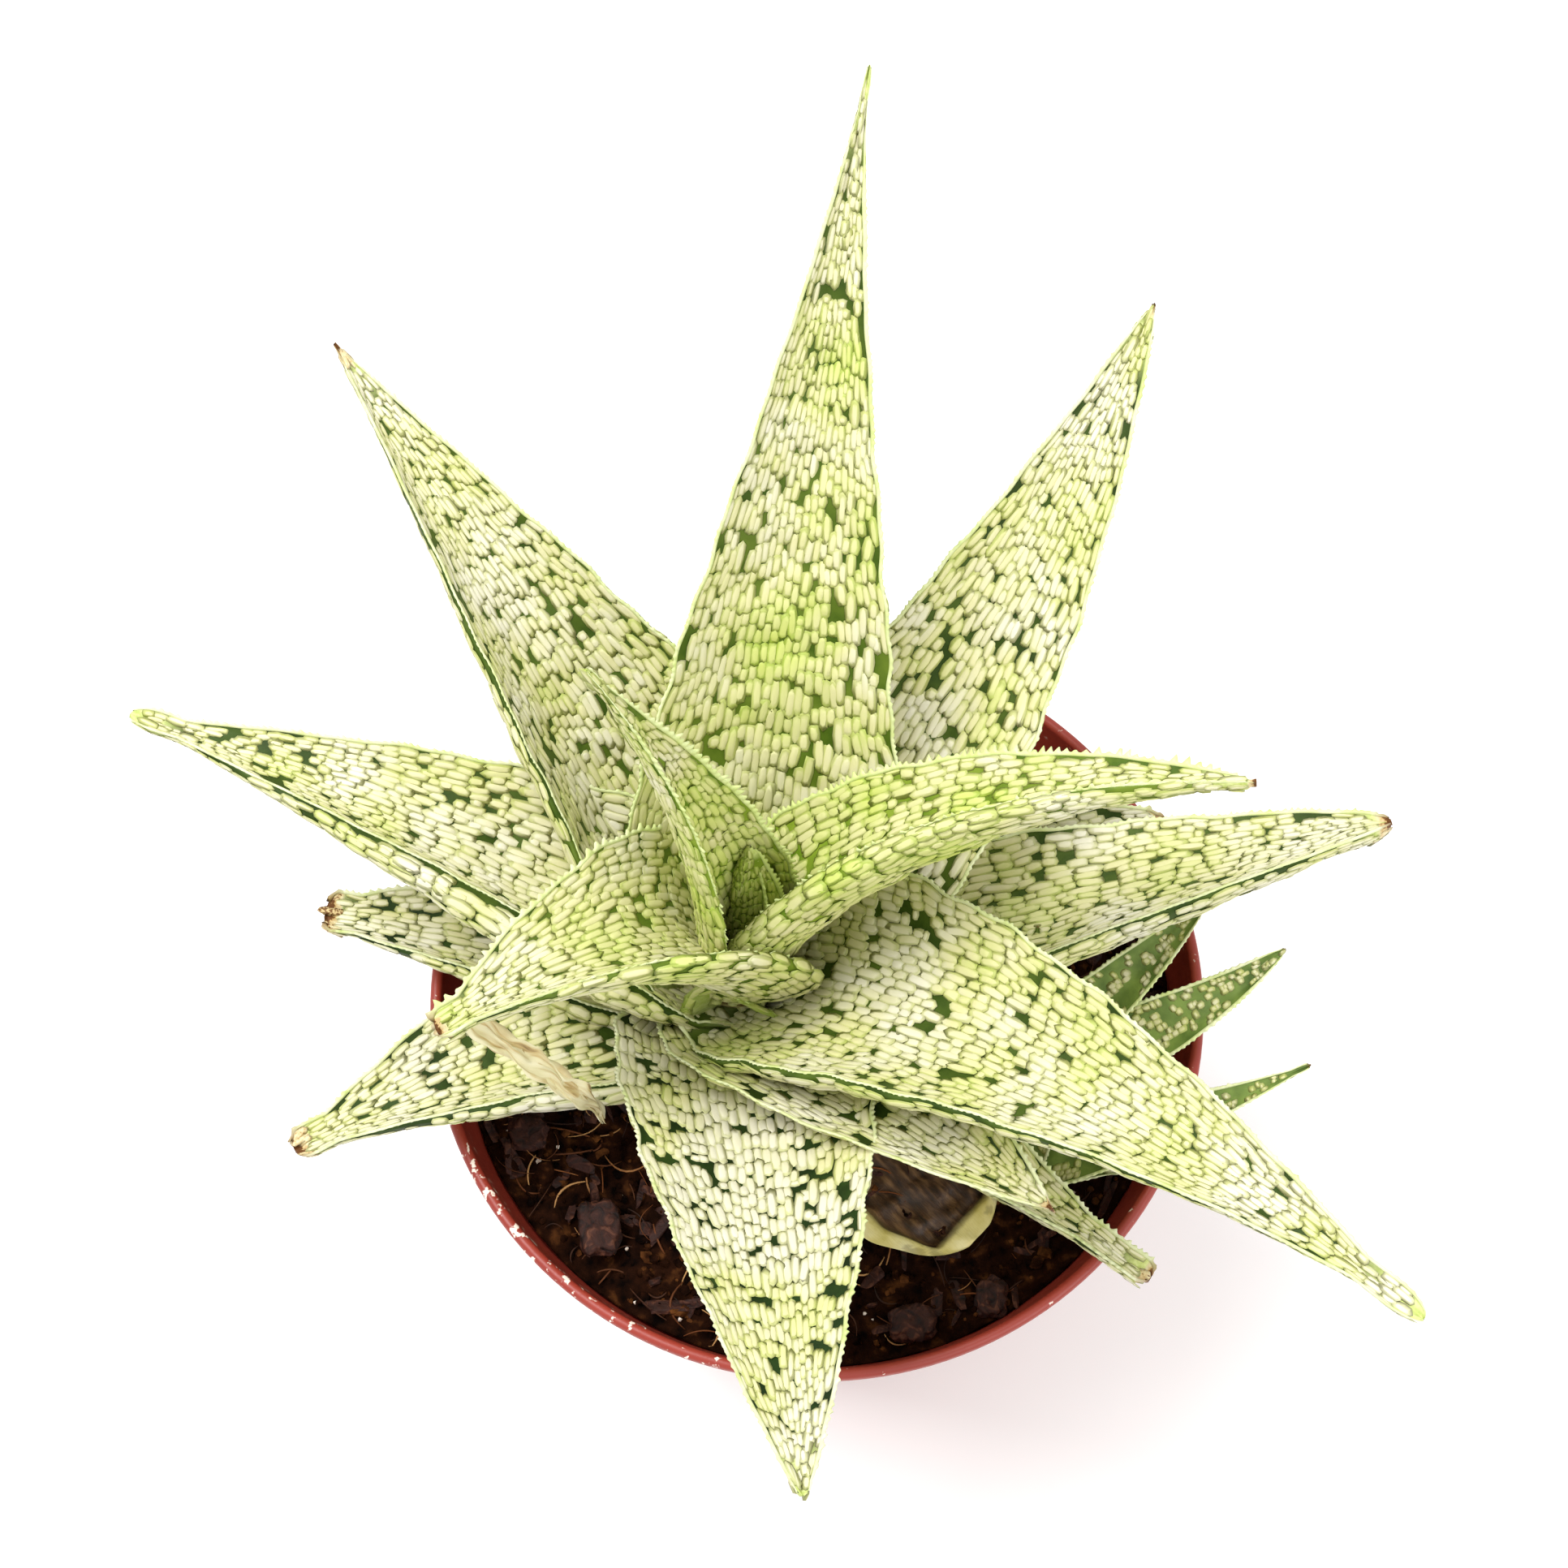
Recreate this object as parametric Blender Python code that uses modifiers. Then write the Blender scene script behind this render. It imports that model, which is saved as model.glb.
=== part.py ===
"""A white-spotted aloe in a 12 cm plastic nursery pot, with two offsets at its foot.

Frame: metres, +Z up. The origin is the centre of the pot's underside, so the plant stands on z = 0,
and -Y is the front, the side that the folded leaf and the bare potting mix face.

The leaves grow round one short stem, the oldest lowest and outermost. Each leaf is one row of a
growth table. An older leaf gives way to the younger ones that press on it from above.
"""

from collections import namedtuple
from math import atan2, cos, degrees, hypot, pi, radians, sin, sqrt
from random import Random

import bmesh
import bpy
from mathutils import Matrix, Vector

MM = 0.001
GAP = 0.3 * MM                # left open between any two pieces that touch
ROUND_SEGMENTS = 64

# Pot: a tapered thermoformed tub with a rolled rim
POT_HEIGHT = 105 * MM
POT_RIM_RADIUS = 60 * MM
POT_FOOT_RADIUS = 43 * MM
POT_WALL = 1.2 * MM
POT_FLOOR = 1.4 * MM
RIM_WIDTH = 1.8 * MM          # lip as seen from above
RIM_BAND = 2.4 * MM           # depth of the lip
RIM_STEP = 0.9 * MM           # the lip stands this far outside the tapered wall
HEEL_ROUND = 1.5 * MM
DRAIN_HOLES = 6
DRAIN_RADIUS = 4.5 * MM
DRAIN_CIRCLE = 31 * MM

# Potting mix
HEADROOM = 11 * MM            # rim down to the mix
RIM_CLEARANCE = 1 * MM        # under the midrib of a leaf that passes low over the rim
MIX_CROWN = 1.5 * MM          # the mix is this much higher at the stem than at the wall

# Stem of the main plant, slightly left of the pot's centre
STEM_X = -12 * MM
STEM_Y = -1 * MM
STEM_RADIUS = 7 * MM
STEM_DEPTH = 16 * MM          # below the mix
STEM_HEIGHT = 38 * MM         # above the mix
STEM_SHOULDER = 24 * MM       # above the mix, where the stem starts to narrow to its growing point
STEM_POINT_RADIUS = 2 * MM
SEAT_DEPTH = 2 * MM           # a leaf's root line starts this far inside the stem

# Offsets: two small rosettes at the right
PUP_STEM_RADIUS = 3 * MM
PUP_STEM_DEPTH = 8 * MM
PUP_STEM_HEIGHT = 4 * MM
PUP_PLACES = {"pup_a": (41 * MM, -12.5 * MM), "pup_b": (43 * MM, -25 * MM)}  # from the main stem

# Leaf solid
STATIONS = 13                 # rings of points along a leaf
AROUND = 12                   # points in a ring
SUBSTEPS = 4                  # midrib steps between two rings
ROOM = 1.5 * GAP              # a leaf's room in its neighbours is its own shape swollen by this
SHARPEST_SWELL = 3            # a sharp margin swells at most this many times as far
LEAST_WIDTH = 0.8 * MM
LEAST_THICKNESS = 0.8 * MM
PUP_STATIONS = 8
PUP_AROUND = 8

# Bark chips lying on the mix: place from the pot's axis, heading, and length, width, thickness
CHIP_ROUNDING = 0.4 * MM
CHIPS = (
    ("bark_chip_front_left", -33, -36, 75, 9.5, 6.5, 2.4),
    ("bark_chip_front", -8, -49, 20, 7, 4, 1.8),
    ("bark_chip_front_middle", 14, -50, -15, 8, 5, 2.0),
    ("bark_chip_front_right", 26, -46.5, -60, 6, 4, 1.8),
    ("bark_chip_left", -45, -21, 40, 6.5, 4, 1.8),
)

# Headings are degrees anticlockwise from +X seen from above, rises are degrees above level, and the
# other sizes are millimetres. Sweep is how far the heading turns from root to tip, roll and twist
# turn the blade about its midrib, taper is the outline's power, channel is how deep the upper face
# is dished as a share of the width, seat is the root's height above the mix, and a broken or dried
# tip ends blunt, at tip_width and tip_thickness, rounded off over its last tip_round.
Leaf = namedtuple(
    "Leaf",
    "name heading sweep rise_root rise_tip length width thickness roll twist taper channel seat"
    " tip_width tip_thickness tip_round",
    defaults=(0.8, 0.8, 0.03),
)

# From the oldest to the youngest
LEAVES = (
    Leaf("old_leaf_base", -46, 2, 1, -1, 47, 28, 8, 0, 0, 0.25, 0.06, 3.5, 26, 7, 0.4),
    Leaf("leaf_front_right_low", -36, -4, 17, 9, 72, 24, 5, -12, -10, 1.0, 0.20, 3, 4.5, 2.5),
    Leaf("leaf_left_short", 168, 7, 15, 10, 61, 22, 5, 5, 3, 0.5, 0.20, 5, 7, 2.5),
    Leaf("leaf_right_short", 18, 4, 14, 12, 68, 26, 5, 1, 1, 0.4, 0.24, 4, 5, 2.5),
    Leaf("leaf_front_left_low", 198, 14, 25, 9, 68, 32, 6, 3, 5, 0.8, 0.21, 6, 5, 2.5),
    Leaf("leaf_right", 7, 3, 23, 21, 97, 31, 6.5, -16, -25, 0.5, 0.17, 9, 4, 2),
    Leaf("leaf_back_left", 125, 4, 40, 29, 110, 41, 7, 18, -9, 0.97, 0.32, 11),
    Leaf("leaf_front", -85, 3, 45, 28, 95, 37, 7, 3, -12, 0.7, 0.17, 14, 2.2, 1.4, 0.02),
    Leaf("leaf_back_right", 42, 21, 38, 38, 113, 35, 7, 12, 1, 0.8, 0.15, 17),
    Leaf("leaf_front_hidden", -52, 12, 46, 18, 66, 35, 5, 0, -3, 0.8, 0.26, 18),
    Leaf("leaf_left", 160, 2, 28, 5, 93, 34, 6.5, 8, 0, 0.98, 0.21, 20, 3.4, 2.0, 0.05),
    Leaf("leaf_front_right", -31, -15, 50, 15, 116, 38, 7, 3, 0, 1.0, 0.22, 23, 3.2, 1.8, 0.04),
    Leaf("leaf_back_tall", 79, -3, 56, 51, 127, 42, 7, 14, 6, 1.2, 0.16, 26),
    Leaf("leaf_front_left_folded", 210, 3, 86, -5, 60, 31, 5, 10, 7, 0.74, 0.30, 29, 5, 1.6),
    Leaf("leaf_right_upper", 12, -23, 70, 19, 90, 24, 5, -24, -14, 0.75, 0.25, 32),
    Leaf("leaf_centre_left", 155, 15, 90, 68, 80, 18, 4, -15, 15, 1.1, 0.36, 35),
    Leaf("bud_leaf_outer", 70, 4, 80, 78, 26, 9, 2.0, 8, 8, 0.6, 0.35, 37),
    Leaf("bud_leaf_inner", -125, 0, 94, 106, 24, 10, 1.8, 0, 0, 0.55, 0.42, 38),
)
# The dead end of the folded leaf: a dry ribbon that hangs from the fold back towards the stem
WITHERED_TIP = Leaf("withered_tip", -15, 5, -55, -78, 40, 5, 1.4, 0, 30, 0.3, 0.10, 0)
WITHERED_OVERLAP = 4 * MM     # the ribbon's root lies this far back inside the leaf's fold

PUP_LEAVES = (
    ("pup_a", Leaf("pup_a_leaf_back", 75, 6, 59, 59, 31, 8, 3, 2, 3, 0.6, 0.20, 2)),
    ("pup_a", Leaf("pup_a_leaf_upper", 30, 8, 42, 45, 45, 10, 3, 2, 3, 0.6, 0.20, 1.5)),
    ("pup_a", Leaf("pup_a_leaf_right", 5, 26, 32, 38, 50, 11.5, 3, 5, 4, 0.65, 0.20, 1.5)),
    ("pup_b", Leaf("pup_b_leaf_right", 1, 17, 45, 34, 50, 10, 3, 2, 2, 0.9, 0.20, 1.5)),
    ("pup_b", Leaf("pup_b_leaf_low", -12, 0, 30, 25, 16, 8, 2.4, 0, 0, 0.9, 0.20, 2)),
    ("pup_b", Leaf("pup_b_leaf_back", 60, -8, 60, 60, 20, 7, 2.4, 0, 0, 0.9, 0.20, 2)),
)

# Colours (linear), roughness
TERRACOTTA = ((0.36, 0.045, 0.030), 0.42)
PEAT = ((0.022, 0.010, 0.006), 0.95)
BARK = ((0.075, 0.028, 0.016), 0.80)
OLD_BARE_STEM = ((0.21, 0.16, 0.06), 0.70)
SPOTTED_LEAF = ((0.55, 0.64, 0.32), 0.50)
YOUNG_LEAF = ((0.40, 0.58, 0.16), 0.50)
PUP_LEAF = ((0.12, 0.22, 0.05), 0.50)
DEAD_LEAF = ((0.62, 0.55, 0.22), 0.60)

MIX_TOP = POT_HEIGHT - HEADROOM
STEM_AXIS = Vector((STEM_X, STEM_Y, 0))
WALL_TOP = POT_HEIGHT - RIM_BAND


def make_collection(name):
    collection = bpy.data.collections.new(name)
    bpy.context.scene.collection.children.link(collection)
    return collection


def make_material(name, colour_and_roughness):
    colour, roughness = colour_and_roughness
    material = bpy.data.materials.new(name)
    material.use_nodes = True
    shader = material.node_tree.nodes["Principled BSDF"]
    shader.inputs["Base Color"].default_value = (*colour, 1)
    shader.inputs["Roughness"].default_value = roughness
    return material


def add_object(name, mesh, material, collection=None):
    obj = bpy.data.objects.new(name, mesh)
    (collection or parts).objects.link(obj)
    mesh.materials.clear()
    mesh.materials.append(material)
    mesh.shade_smooth()
    mesh.set_sharp_from_angle(angle=radians(40))
    return obj


def mesh_from(bm, name):
    bmesh.ops.recalc_face_normals(bm, faces=bm.faces)
    mesh = bpy.data.meshes.new(name)
    bm.to_mesh(mesh)
    bm.free()
    return mesh


def as_cutter(obj):
    obj.hide_render = True
    obj.display_type = "WIRE"
    return obj


def turned(name, profile, material, collection=None, steps=ROUND_SEGMENTS):
    """A closed profile of (radius, height) points, turned about Z. It runs down the outside first."""
    bm = bmesh.new()
    points = [bm.verts.new((radius, 0, height)) for radius, height in profile]
    for start, end in zip(points, points[1:]):
        bm.edges.new((start, end))
    if profile[0][0] > 0:
        bm.edges.new((points[-1], points[0]))
    mesh = bpy.data.meshes.new(name)
    bm.to_mesh(mesh)
    bm.free()
    obj = add_object(name, mesh, material, collection)
    screw = obj.modifiers.new("turn", "SCREW")
    screw.steps = screw.render_steps = steps
    screw.use_merge_vertices = True
    screw.merge_threshold = 0.00001
    screw.use_smooth_shade = True
    return obj


def rod(name, radius, low, high, x, y, material, collection=None):
    bm = bmesh.new()
    placed = Matrix.Translation((x, y, (low + high) / 2))
    bmesh.ops.create_cone(
        bm, cap_ends=True, segments=ROUND_SEGMENTS // 2, radius1=radius, radius2=radius,
        depth=high - low, matrix=placed,
    )
    return add_object(name, mesh_from(bm, name), material, collection)


def wall_radius(height):
    """Outer radius of the pot's tapered wall."""
    top_radius = POT_RIM_RADIUS - RIM_STEP
    return POT_FOOT_RADIUS + (top_radius - POT_FOOT_RADIUS) * height / WALL_TOP


def build_pot():
    """The tub, with drain holes through its floor."""
    floor_radius = wall_radius(POT_FLOOR) - POT_WALL
    lip_round = RIM_WIDTH / 4
    outside = [
        (POT_RIM_RADIUS - lip_round, POT_HEIGHT),
        (POT_RIM_RADIUS, POT_HEIGHT - lip_round),
        (POT_RIM_RADIUS, WALL_TOP),
        (wall_radius(WALL_TOP), WALL_TOP - RIM_STEP),
        (wall_radius(HEEL_ROUND), HEEL_ROUND),
        (POT_FOOT_RADIUS - HEEL_ROUND, 0),
        (0, 0),
    ]
    inside = [
        (0, POT_FLOOR),
        (floor_radius - HEEL_ROUND, POT_FLOOR),
        (wall_radius(POT_FLOOR + HEEL_ROUND) - POT_WALL, POT_FLOOR + HEEL_ROUND),
        (wall_radius(WALL_TOP) - POT_WALL, WALL_TOP - RIM_STEP),
        (POT_RIM_RADIUS - RIM_WIDTH, WALL_TOP),
        (POT_RIM_RADIUS - RIM_WIDTH, POT_HEIGHT - lip_round),
        (POT_RIM_RADIUS - RIM_WIDTH + lip_round, POT_HEIGHT),
    ]
    pot = turned("pot", outside + inside, materials["terracotta_plastic"])
    drills = []
    for number in range(DRAIN_HOLES):
        turn = 2 * pi * number / DRAIN_HOLES
        x, y = DRAIN_CIRCLE * cos(turn), DRAIN_CIRCLE * sin(turn)
        drill = rod(
            f"drain_drill_{number + 1}", DRAIN_RADIUS, -POT_FLOOR, 2 * POT_FLOOR, x, y,
            materials["terracotta_plastic"], cutters,
        )
        drills.append(as_cutter(drill))
    cut(pot, drills)
    return pot


def build_mix():
    """Everything inside the tub up to a gently crowned surface."""
    low = POT_FLOOR + GAP
    side = POT_WALL + GAP
    profile = [
        (0, MIX_TOP + MIX_CROWN),
        (0.5 * wall_radius(MIX_TOP), MIX_TOP + 0.75 * MIX_CROWN),
        (wall_radius(MIX_TOP) - side, MIX_TOP),
        (wall_radius(low + 2 * HEEL_ROUND) - side, low + 2 * HEEL_ROUND),
        (wall_radius(low) - side - 2 * HEEL_ROUND, low),
        (0, low),
    ]
    return turned("potting_mix", profile, materials["peat_mix"])


def midrib(leaf, root, stations):
    """(share of length, point, across, outward) at each ring; outward is the upper face's normal."""
    rings = []
    steps = stations * SUBSTEPS
    point = root.copy()
    reached = 0.0
    for step in range(steps + 1):
        share = 1 - (1 - step / steps) ** 1.5
        heading = radians(leaf.heading + leaf.sweep * share)
        rise = radians(leaf.rise_root + (leaf.rise_tip - leaf.rise_root) * share)
        along = Vector((cos(rise) * cos(heading), cos(rise) * sin(heading), sin(rise)))
        point = point + along * (leaf.length * MM * (share - reached))
        reached = share
        if step % SUBSTEPS:
            continue
        level = Vector((-sin(heading), cos(heading), 0))
        roll = Matrix.Rotation(radians(leaf.roll + leaf.twist * share), 3, along)
        rings.append((share, point, roll @ level, roll @ along.cross(level), along))
    return rings


def blunting(leaf, share):
    """1 along the leaf, falling to 0 round the blunt end."""
    past = max(0.0, share - 1 + leaf.tip_round) / leaf.tip_round
    return sqrt(max(0.0, 1 - past * past))


def leaf_width(leaf, share):
    root = 0.8 + 0.2 * sin(pi / 2 * min(1.0, share / 0.15))
    outline = root * (1 - share) ** leaf.taper * (1 + 1.1 * share * (1 - share))
    width = max(leaf.width * outline, leaf.tip_width) * blunting(leaf, share) * MM
    return max(width, LEAST_WIDTH)


def leaf_thickness(leaf, share):
    thickness = max(leaf.thickness * (1 - share) ** 0.55, leaf.tip_thickness)
    return max(thickness * blunting(leaf, share) * MM, LEAST_THICKNESS)


def leaf_mesh(leaf, root, grow=0.0, stations=STATIONS, around=AROUND):
    """A leaf: dished above, full below, sharp at both margins. grow swells it all round."""
    rings = midrib(leaf, root, stations)
    bm = bmesh.new()
    bmesh.ops.create_cone(
        bm, cap_ends=True, segments=around, radius1=1, radius2=1, depth=1,
    )
    upright = [edge for edge in bm.edges if abs(edge.verts[0].co.z - edge.verts[1].co.z) > 0.5]
    bmesh.ops.subdivide_edges(bm, edges=upright, cuts=stations - 1)
    for vert in bm.verts:
        number = round((vert.co.z + 0.5) * stations)
        share, point, across, outward, _ = rings[number]
        turn = atan2(vert.co.y, vert.co.x)
        side, face = cos(turn), sin(turn)
        width = leaf_width(leaf, share)
        depth = leaf.channel * width * side * side
        if face < 0:
            depth -= leaf_thickness(leaf, share) * abs(face) ** 1.4
        vert.co = point + across * (side * width / 2) + outward * depth
    bmesh.ops.triangulate(bm, faces=bm.faces)
    bmesh.ops.recalc_face_normals(bm, faces=bm.faces)
    bm.normal_update()
    swollen = [
        vert.co + vert.normal * (grow * min(vert.calc_shell_factor(), SHARPEST_SWELL))
        for vert in bm.verts
    ]
    for vert, place in zip(bm.verts, swollen):
        vert.co = place
    return mesh_from(bm, leaf.name)


def largest_body(bm):
    """Deletes all but the biggest separate shell, so that a cut leaf stays one piece."""
    left = set(bm.faces)
    shells = []
    while left:
        shell = {left.pop()}
        front = list(shell)
        while front:
            face = front.pop()
            for edge in face.edges:
                for other in edge.link_faces:
                    if other in left:
                        left.discard(other)
                        shell.add(other)
                        front.append(other)
        shells.append(shell)
    shells.sort(key=lambda shell: sum(face.calc_area() for face in shell))
    doomed = [face for shell in shells[:-1] for face in shell]
    bmesh.ops.delete(bm, geom=doomed, context="FACES")


def bounds(obj):
    graph = bpy.context.evaluated_depsgraph_get()
    graph.update()
    solid = obj.evaluated_get(graph)
    corners = [solid.matrix_world @ Vector(corner) for corner in solid.bound_box]
    low = [min(corner[axis] for corner in corners) for axis in range(3)]
    high = [max(corner[axis] for corner in corners) for axis in range(3)]
    return low, high


def near(one, other):
    (low, high), (other_low, other_high) = bounds(one), bounds(other)
    return all(low[axis] < other_high[axis] and other_low[axis] < high[axis] for axis in range(3))


def cut(obj, others, operation="DIFFERENCE"):
    """Applies one Boolean for each of the others and keeps the largest body."""
    for other in others:
        boolean = obj.modifiers.new(other.name, "BOOLEAN")
        boolean.operation = operation
        boolean.object = other
    graph = bpy.context.evaluated_depsgraph_get()
    graph.update()
    mesh = bpy.data.meshes.new_from_object(obj.evaluated_get(graph))
    obj.modifiers.clear()
    bm = bmesh.new()
    bm.from_mesh(mesh)
    bmesh.ops.remove_doubles(bm, verts=bm.verts, dist=0.002 * MM)
    bmesh.ops.dissolve_degenerate(bm, edges=bm.edges, dist=0.002 * MM)
    largest_body(bm)
    bm.to_mesh(mesh)
    bm.free()
    mesh.shade_smooth()
    mesh.set_sharp_from_angle(angle=radians(40))
    obj.data = mesh


def leaf_material(leaf):
    if leaf.name.startswith("pup"):
        return materials["offset_leaf"]
    if leaf.name.startswith("old"):
        return materials["dying_leaf"]
    if leaf.name.startswith("bud"):
        return materials["young_leaf"]
    return materials["spotted_leaf"]


def over_the_rim(leaf, root):
    """The leaf, lifted if it must be to pass over the rim. A leaf that ends inside it stays as it is."""
    heading = radians(leaf.heading)
    forward = root.x * cos(heading) + root.y * sin(heading)
    aside = root.y * cos(heading) - root.x * sin(heading)
    to_rim = sqrt(POT_RIM_RADIUS**2 - aside**2) - forward
    share = to_rim / (leaf.length * MM)
    if share > 1:
        return leaf
    clear = POT_HEIGHT + RIM_CLEARANCE + leaf_thickness(leaf, share)
    needed = degrees(atan2(clear - root.z, to_rim))
    lift = max(0.0, needed - leaf.rise_root - (leaf.rise_tip - leaf.rise_root) * share / 2)
    return leaf._replace(rise_root=leaf.rise_root + lift, rise_tip=leaf.rise_tip + lift)


def grow_leaf(leaf, root, stations, around):
    """(leaf, the swollen copy that makes room for it in its older neighbours)"""
    material = leaf_material(leaf)
    obj = add_object(leaf.name, leaf_mesh(leaf, root, 0, stations, around), material)
    room = leaf_mesh(leaf, root, ROOM, stations, around)
    return obj, as_cutter(add_object(leaf.name + "_room", room, material, cutters))


def stem_radius(height):
    """Radius of the main stem at a height above the mix."""
    narrowing = max(0.0, height - STEM_SHOULDER) / (STEM_HEIGHT - STEM_SHOULDER)
    return STEM_RADIUS + (STEM_POINT_RADIUS - STEM_RADIUS) * narrowing


def build_stem(name, grow, material, collection=None):
    """The stem: straight, then narrowing to the growing point. grow swells it all round."""
    low, shoulder, top = MIX_TOP - STEM_DEPTH, MIX_TOP + STEM_SHOULDER, MIX_TOP + STEM_HEIGHT
    profile = [
        (0, top + grow),
        (STEM_POINT_RADIUS + grow, top + grow),
        (STEM_RADIUS + grow, shoulder),
        (STEM_RADIUS + grow, low - grow),
        (0, low - grow),
    ]
    stem = turned(name, profile, material, collection, ROUND_SEGMENTS // 2)
    stem.location = STEM_AXIS
    return stem


def seat(axis, leaf, radius):
    """Where a leaf's midrib starts, inside a stem of this radius."""
    reach = radius - SEAT_DEPTH
    heading = radians(leaf.heading)
    return axis + Vector((reach * cos(heading), reach * sin(heading), MIX_TOP + leaf.seat * MM))


def add_withered_tip(leaf, obj, room, root):
    """Joins the hanging ribbon to the folded leaf and to its room."""
    share, point, across, outward, along = midrib(leaf, root, STATIONS)[-1]
    hang_from = point - along * WITHERED_OVERLAP - outward * LEAST_THICKNESS
    for target, grow in ((obj, 0), (room, ROOM)):
        ribbon_mesh = leaf_mesh(WITHERED_TIP, hang_from, grow, PUP_STATIONS, PUP_AROUND)
        ribbon = as_cutter(add_object("ribbon", ribbon_mesh, materials["dying_leaf"], cutters))
        cut(target, [ribbon], "UNION")


def build_plant():
    """The stem, its leaves and the offsets. Returns the rooms that the potting mix must leave."""
    build_stem("stem", 0, materials["bare_stem"])
    stem_room = build_stem("stem_room", GAP, materials["bare_stem"], cutters)
    rooms = [as_cutter(stem_room)]
    for leaf in reversed(LEAVES):
        root = seat(STEM_AXIS, leaf, stem_radius(leaf.seat * MM))
        leaf = over_the_rim(leaf, root)
        obj, room = grow_leaf(leaf, root, STATIONS, AROUND)
        cut(obj, [other for other in rooms if near(obj, other)])
        if leaf.name == "leaf_front_left_folded":
            add_withered_tip(leaf, obj, room, root)
        rooms.append(room)
    for pup, (pup_x, pup_y) in PUP_PLACES.items():
        axis = STEM_AXIS + Vector((pup_x, pup_y, 0))
        low, high = MIX_TOP - PUP_STEM_DEPTH, MIX_TOP + PUP_STEM_HEIGHT
        pup_stem = rod(
            pup + "_stem", PUP_STEM_RADIUS, low, high, axis.x, axis.y, materials["bare_stem"]
        )
        cut(pup_stem, [other for other in rooms if near(pup_stem, other)])
        room = rod(
            pup + "_stem_room", PUP_STEM_RADIUS + GAP, low - GAP, high + GAP, axis.x, axis.y,
            materials["bare_stem"], cutters,
        )
        rooms.append(as_cutter(room))
        for owner, leaf in PUP_LEAVES:
            if owner != pup:
                continue
            root = seat(axis, leaf, PUP_STEM_RADIUS)
            leaf = over_the_rim(leaf, root)
            obj, room = grow_leaf(leaf, root, PUP_STATIONS, PUP_AROUND)
            cut(obj, [other for other in rooms if near(obj, other)])
            rooms.append(room)
    return rooms


def mix_height(x, y):
    """Height of the crowned surface above a place in the pot."""
    reach = hypot(x, y) / wall_radius(MIX_TOP)
    if reach < 0.5:
        return MIX_TOP + MIX_CROWN * (1 - 0.5 * reach)
    return MIX_TOP + MIX_CROWN * 1.5 * (1 - reach)


def build_chips():
    """Flat splinters of bark, no two alike, lying level on the mix."""
    chance = Random(7)
    for name, x, y, heading, length, width, thickness in CHIPS:
        bm = bmesh.new()
        bmesh.ops.create_cube(bm, size=MM)
        bmesh.ops.scale(bm, vec=(length, width, thickness), verts=bm.verts)
        for vert in bm.verts:
            vert.co.x *= chance.uniform(0.6, 1.0)
            vert.co.y *= chance.uniform(0.6, 1.0)
        bmesh.ops.rotate(bm, cent=(0, 0, 0), matrix=Matrix.Rotation(radians(heading), 3, "Z"), verts=bm.verts)
        reach = hypot(x, y) - length / 2
        lift = mix_height(reach * MM, 0) + GAP + thickness * MM / 2
        bmesh.ops.translate(bm, vec=(x * MM, y * MM, lift), verts=bm.verts)
        chip = add_object(name, mesh_from(bm, name), materials["bark"])
        bevel = chip.modifiers.new("worn edges", "BEVEL")
        bevel.width = CHIP_ROUNDING
        bevel.segments = 1


for old in list(bpy.data.objects):
    bpy.data.objects.remove(old)
parts = make_collection("potted_aloe")
cutters = make_collection("cutters")
cutters.hide_render = True
materials = {
    "terracotta_plastic": make_material("terracotta_plastic", TERRACOTTA),
    "peat_mix": make_material("peat_mix", PEAT),
    "bark": make_material("bark", BARK),
    "bare_stem": make_material("bare_stem", OLD_BARE_STEM),
    "spotted_leaf": make_material("spotted_leaf", SPOTTED_LEAF),
    "young_leaf": make_material("young_leaf", YOUNG_LEAF),
    "offset_leaf": make_material("offset_leaf", PUP_LEAF),
    "dying_leaf": make_material("dying_leaf", DEAD_LEAF),
}
build_pot()
plant_rooms = build_plant()
mix = build_mix()
bpy.context.view_layer.update()
cut(mix, [room for room in plant_rooms if near(mix, room)])
build_chips()
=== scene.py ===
"""Looks of the potted aloe: leaves with raised white tubercles and toothed margins, bark potting mix
and a thermoformed nursery pot. Metres, +Z up, the pot standing on z = 0, the front towards -Y."""

from collections import namedtuple
from math import acos, atan2, cos, degrees, pi, radians, sin, sqrt

import bmesh
import bpy
import numpy as np
from mathutils import Matrix, Vector, noise
from mathutils.bvhtree import BVHTree


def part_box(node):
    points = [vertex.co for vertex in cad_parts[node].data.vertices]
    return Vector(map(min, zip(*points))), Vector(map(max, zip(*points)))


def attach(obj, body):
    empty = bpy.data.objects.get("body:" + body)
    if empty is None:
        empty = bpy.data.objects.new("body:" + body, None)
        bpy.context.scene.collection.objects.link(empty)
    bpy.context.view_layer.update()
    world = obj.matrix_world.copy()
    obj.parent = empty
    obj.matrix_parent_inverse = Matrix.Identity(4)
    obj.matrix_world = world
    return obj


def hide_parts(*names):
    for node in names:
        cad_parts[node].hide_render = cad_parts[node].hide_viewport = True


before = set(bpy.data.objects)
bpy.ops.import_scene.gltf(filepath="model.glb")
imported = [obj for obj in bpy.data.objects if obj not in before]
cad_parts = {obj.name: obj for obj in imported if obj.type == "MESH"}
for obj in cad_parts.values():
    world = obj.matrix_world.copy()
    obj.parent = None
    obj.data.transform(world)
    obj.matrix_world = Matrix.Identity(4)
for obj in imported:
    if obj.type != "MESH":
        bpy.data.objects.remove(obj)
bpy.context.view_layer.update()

MM = 0.001
BODY = "root"

# ---- Places and sizes read from the frame ----

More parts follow.
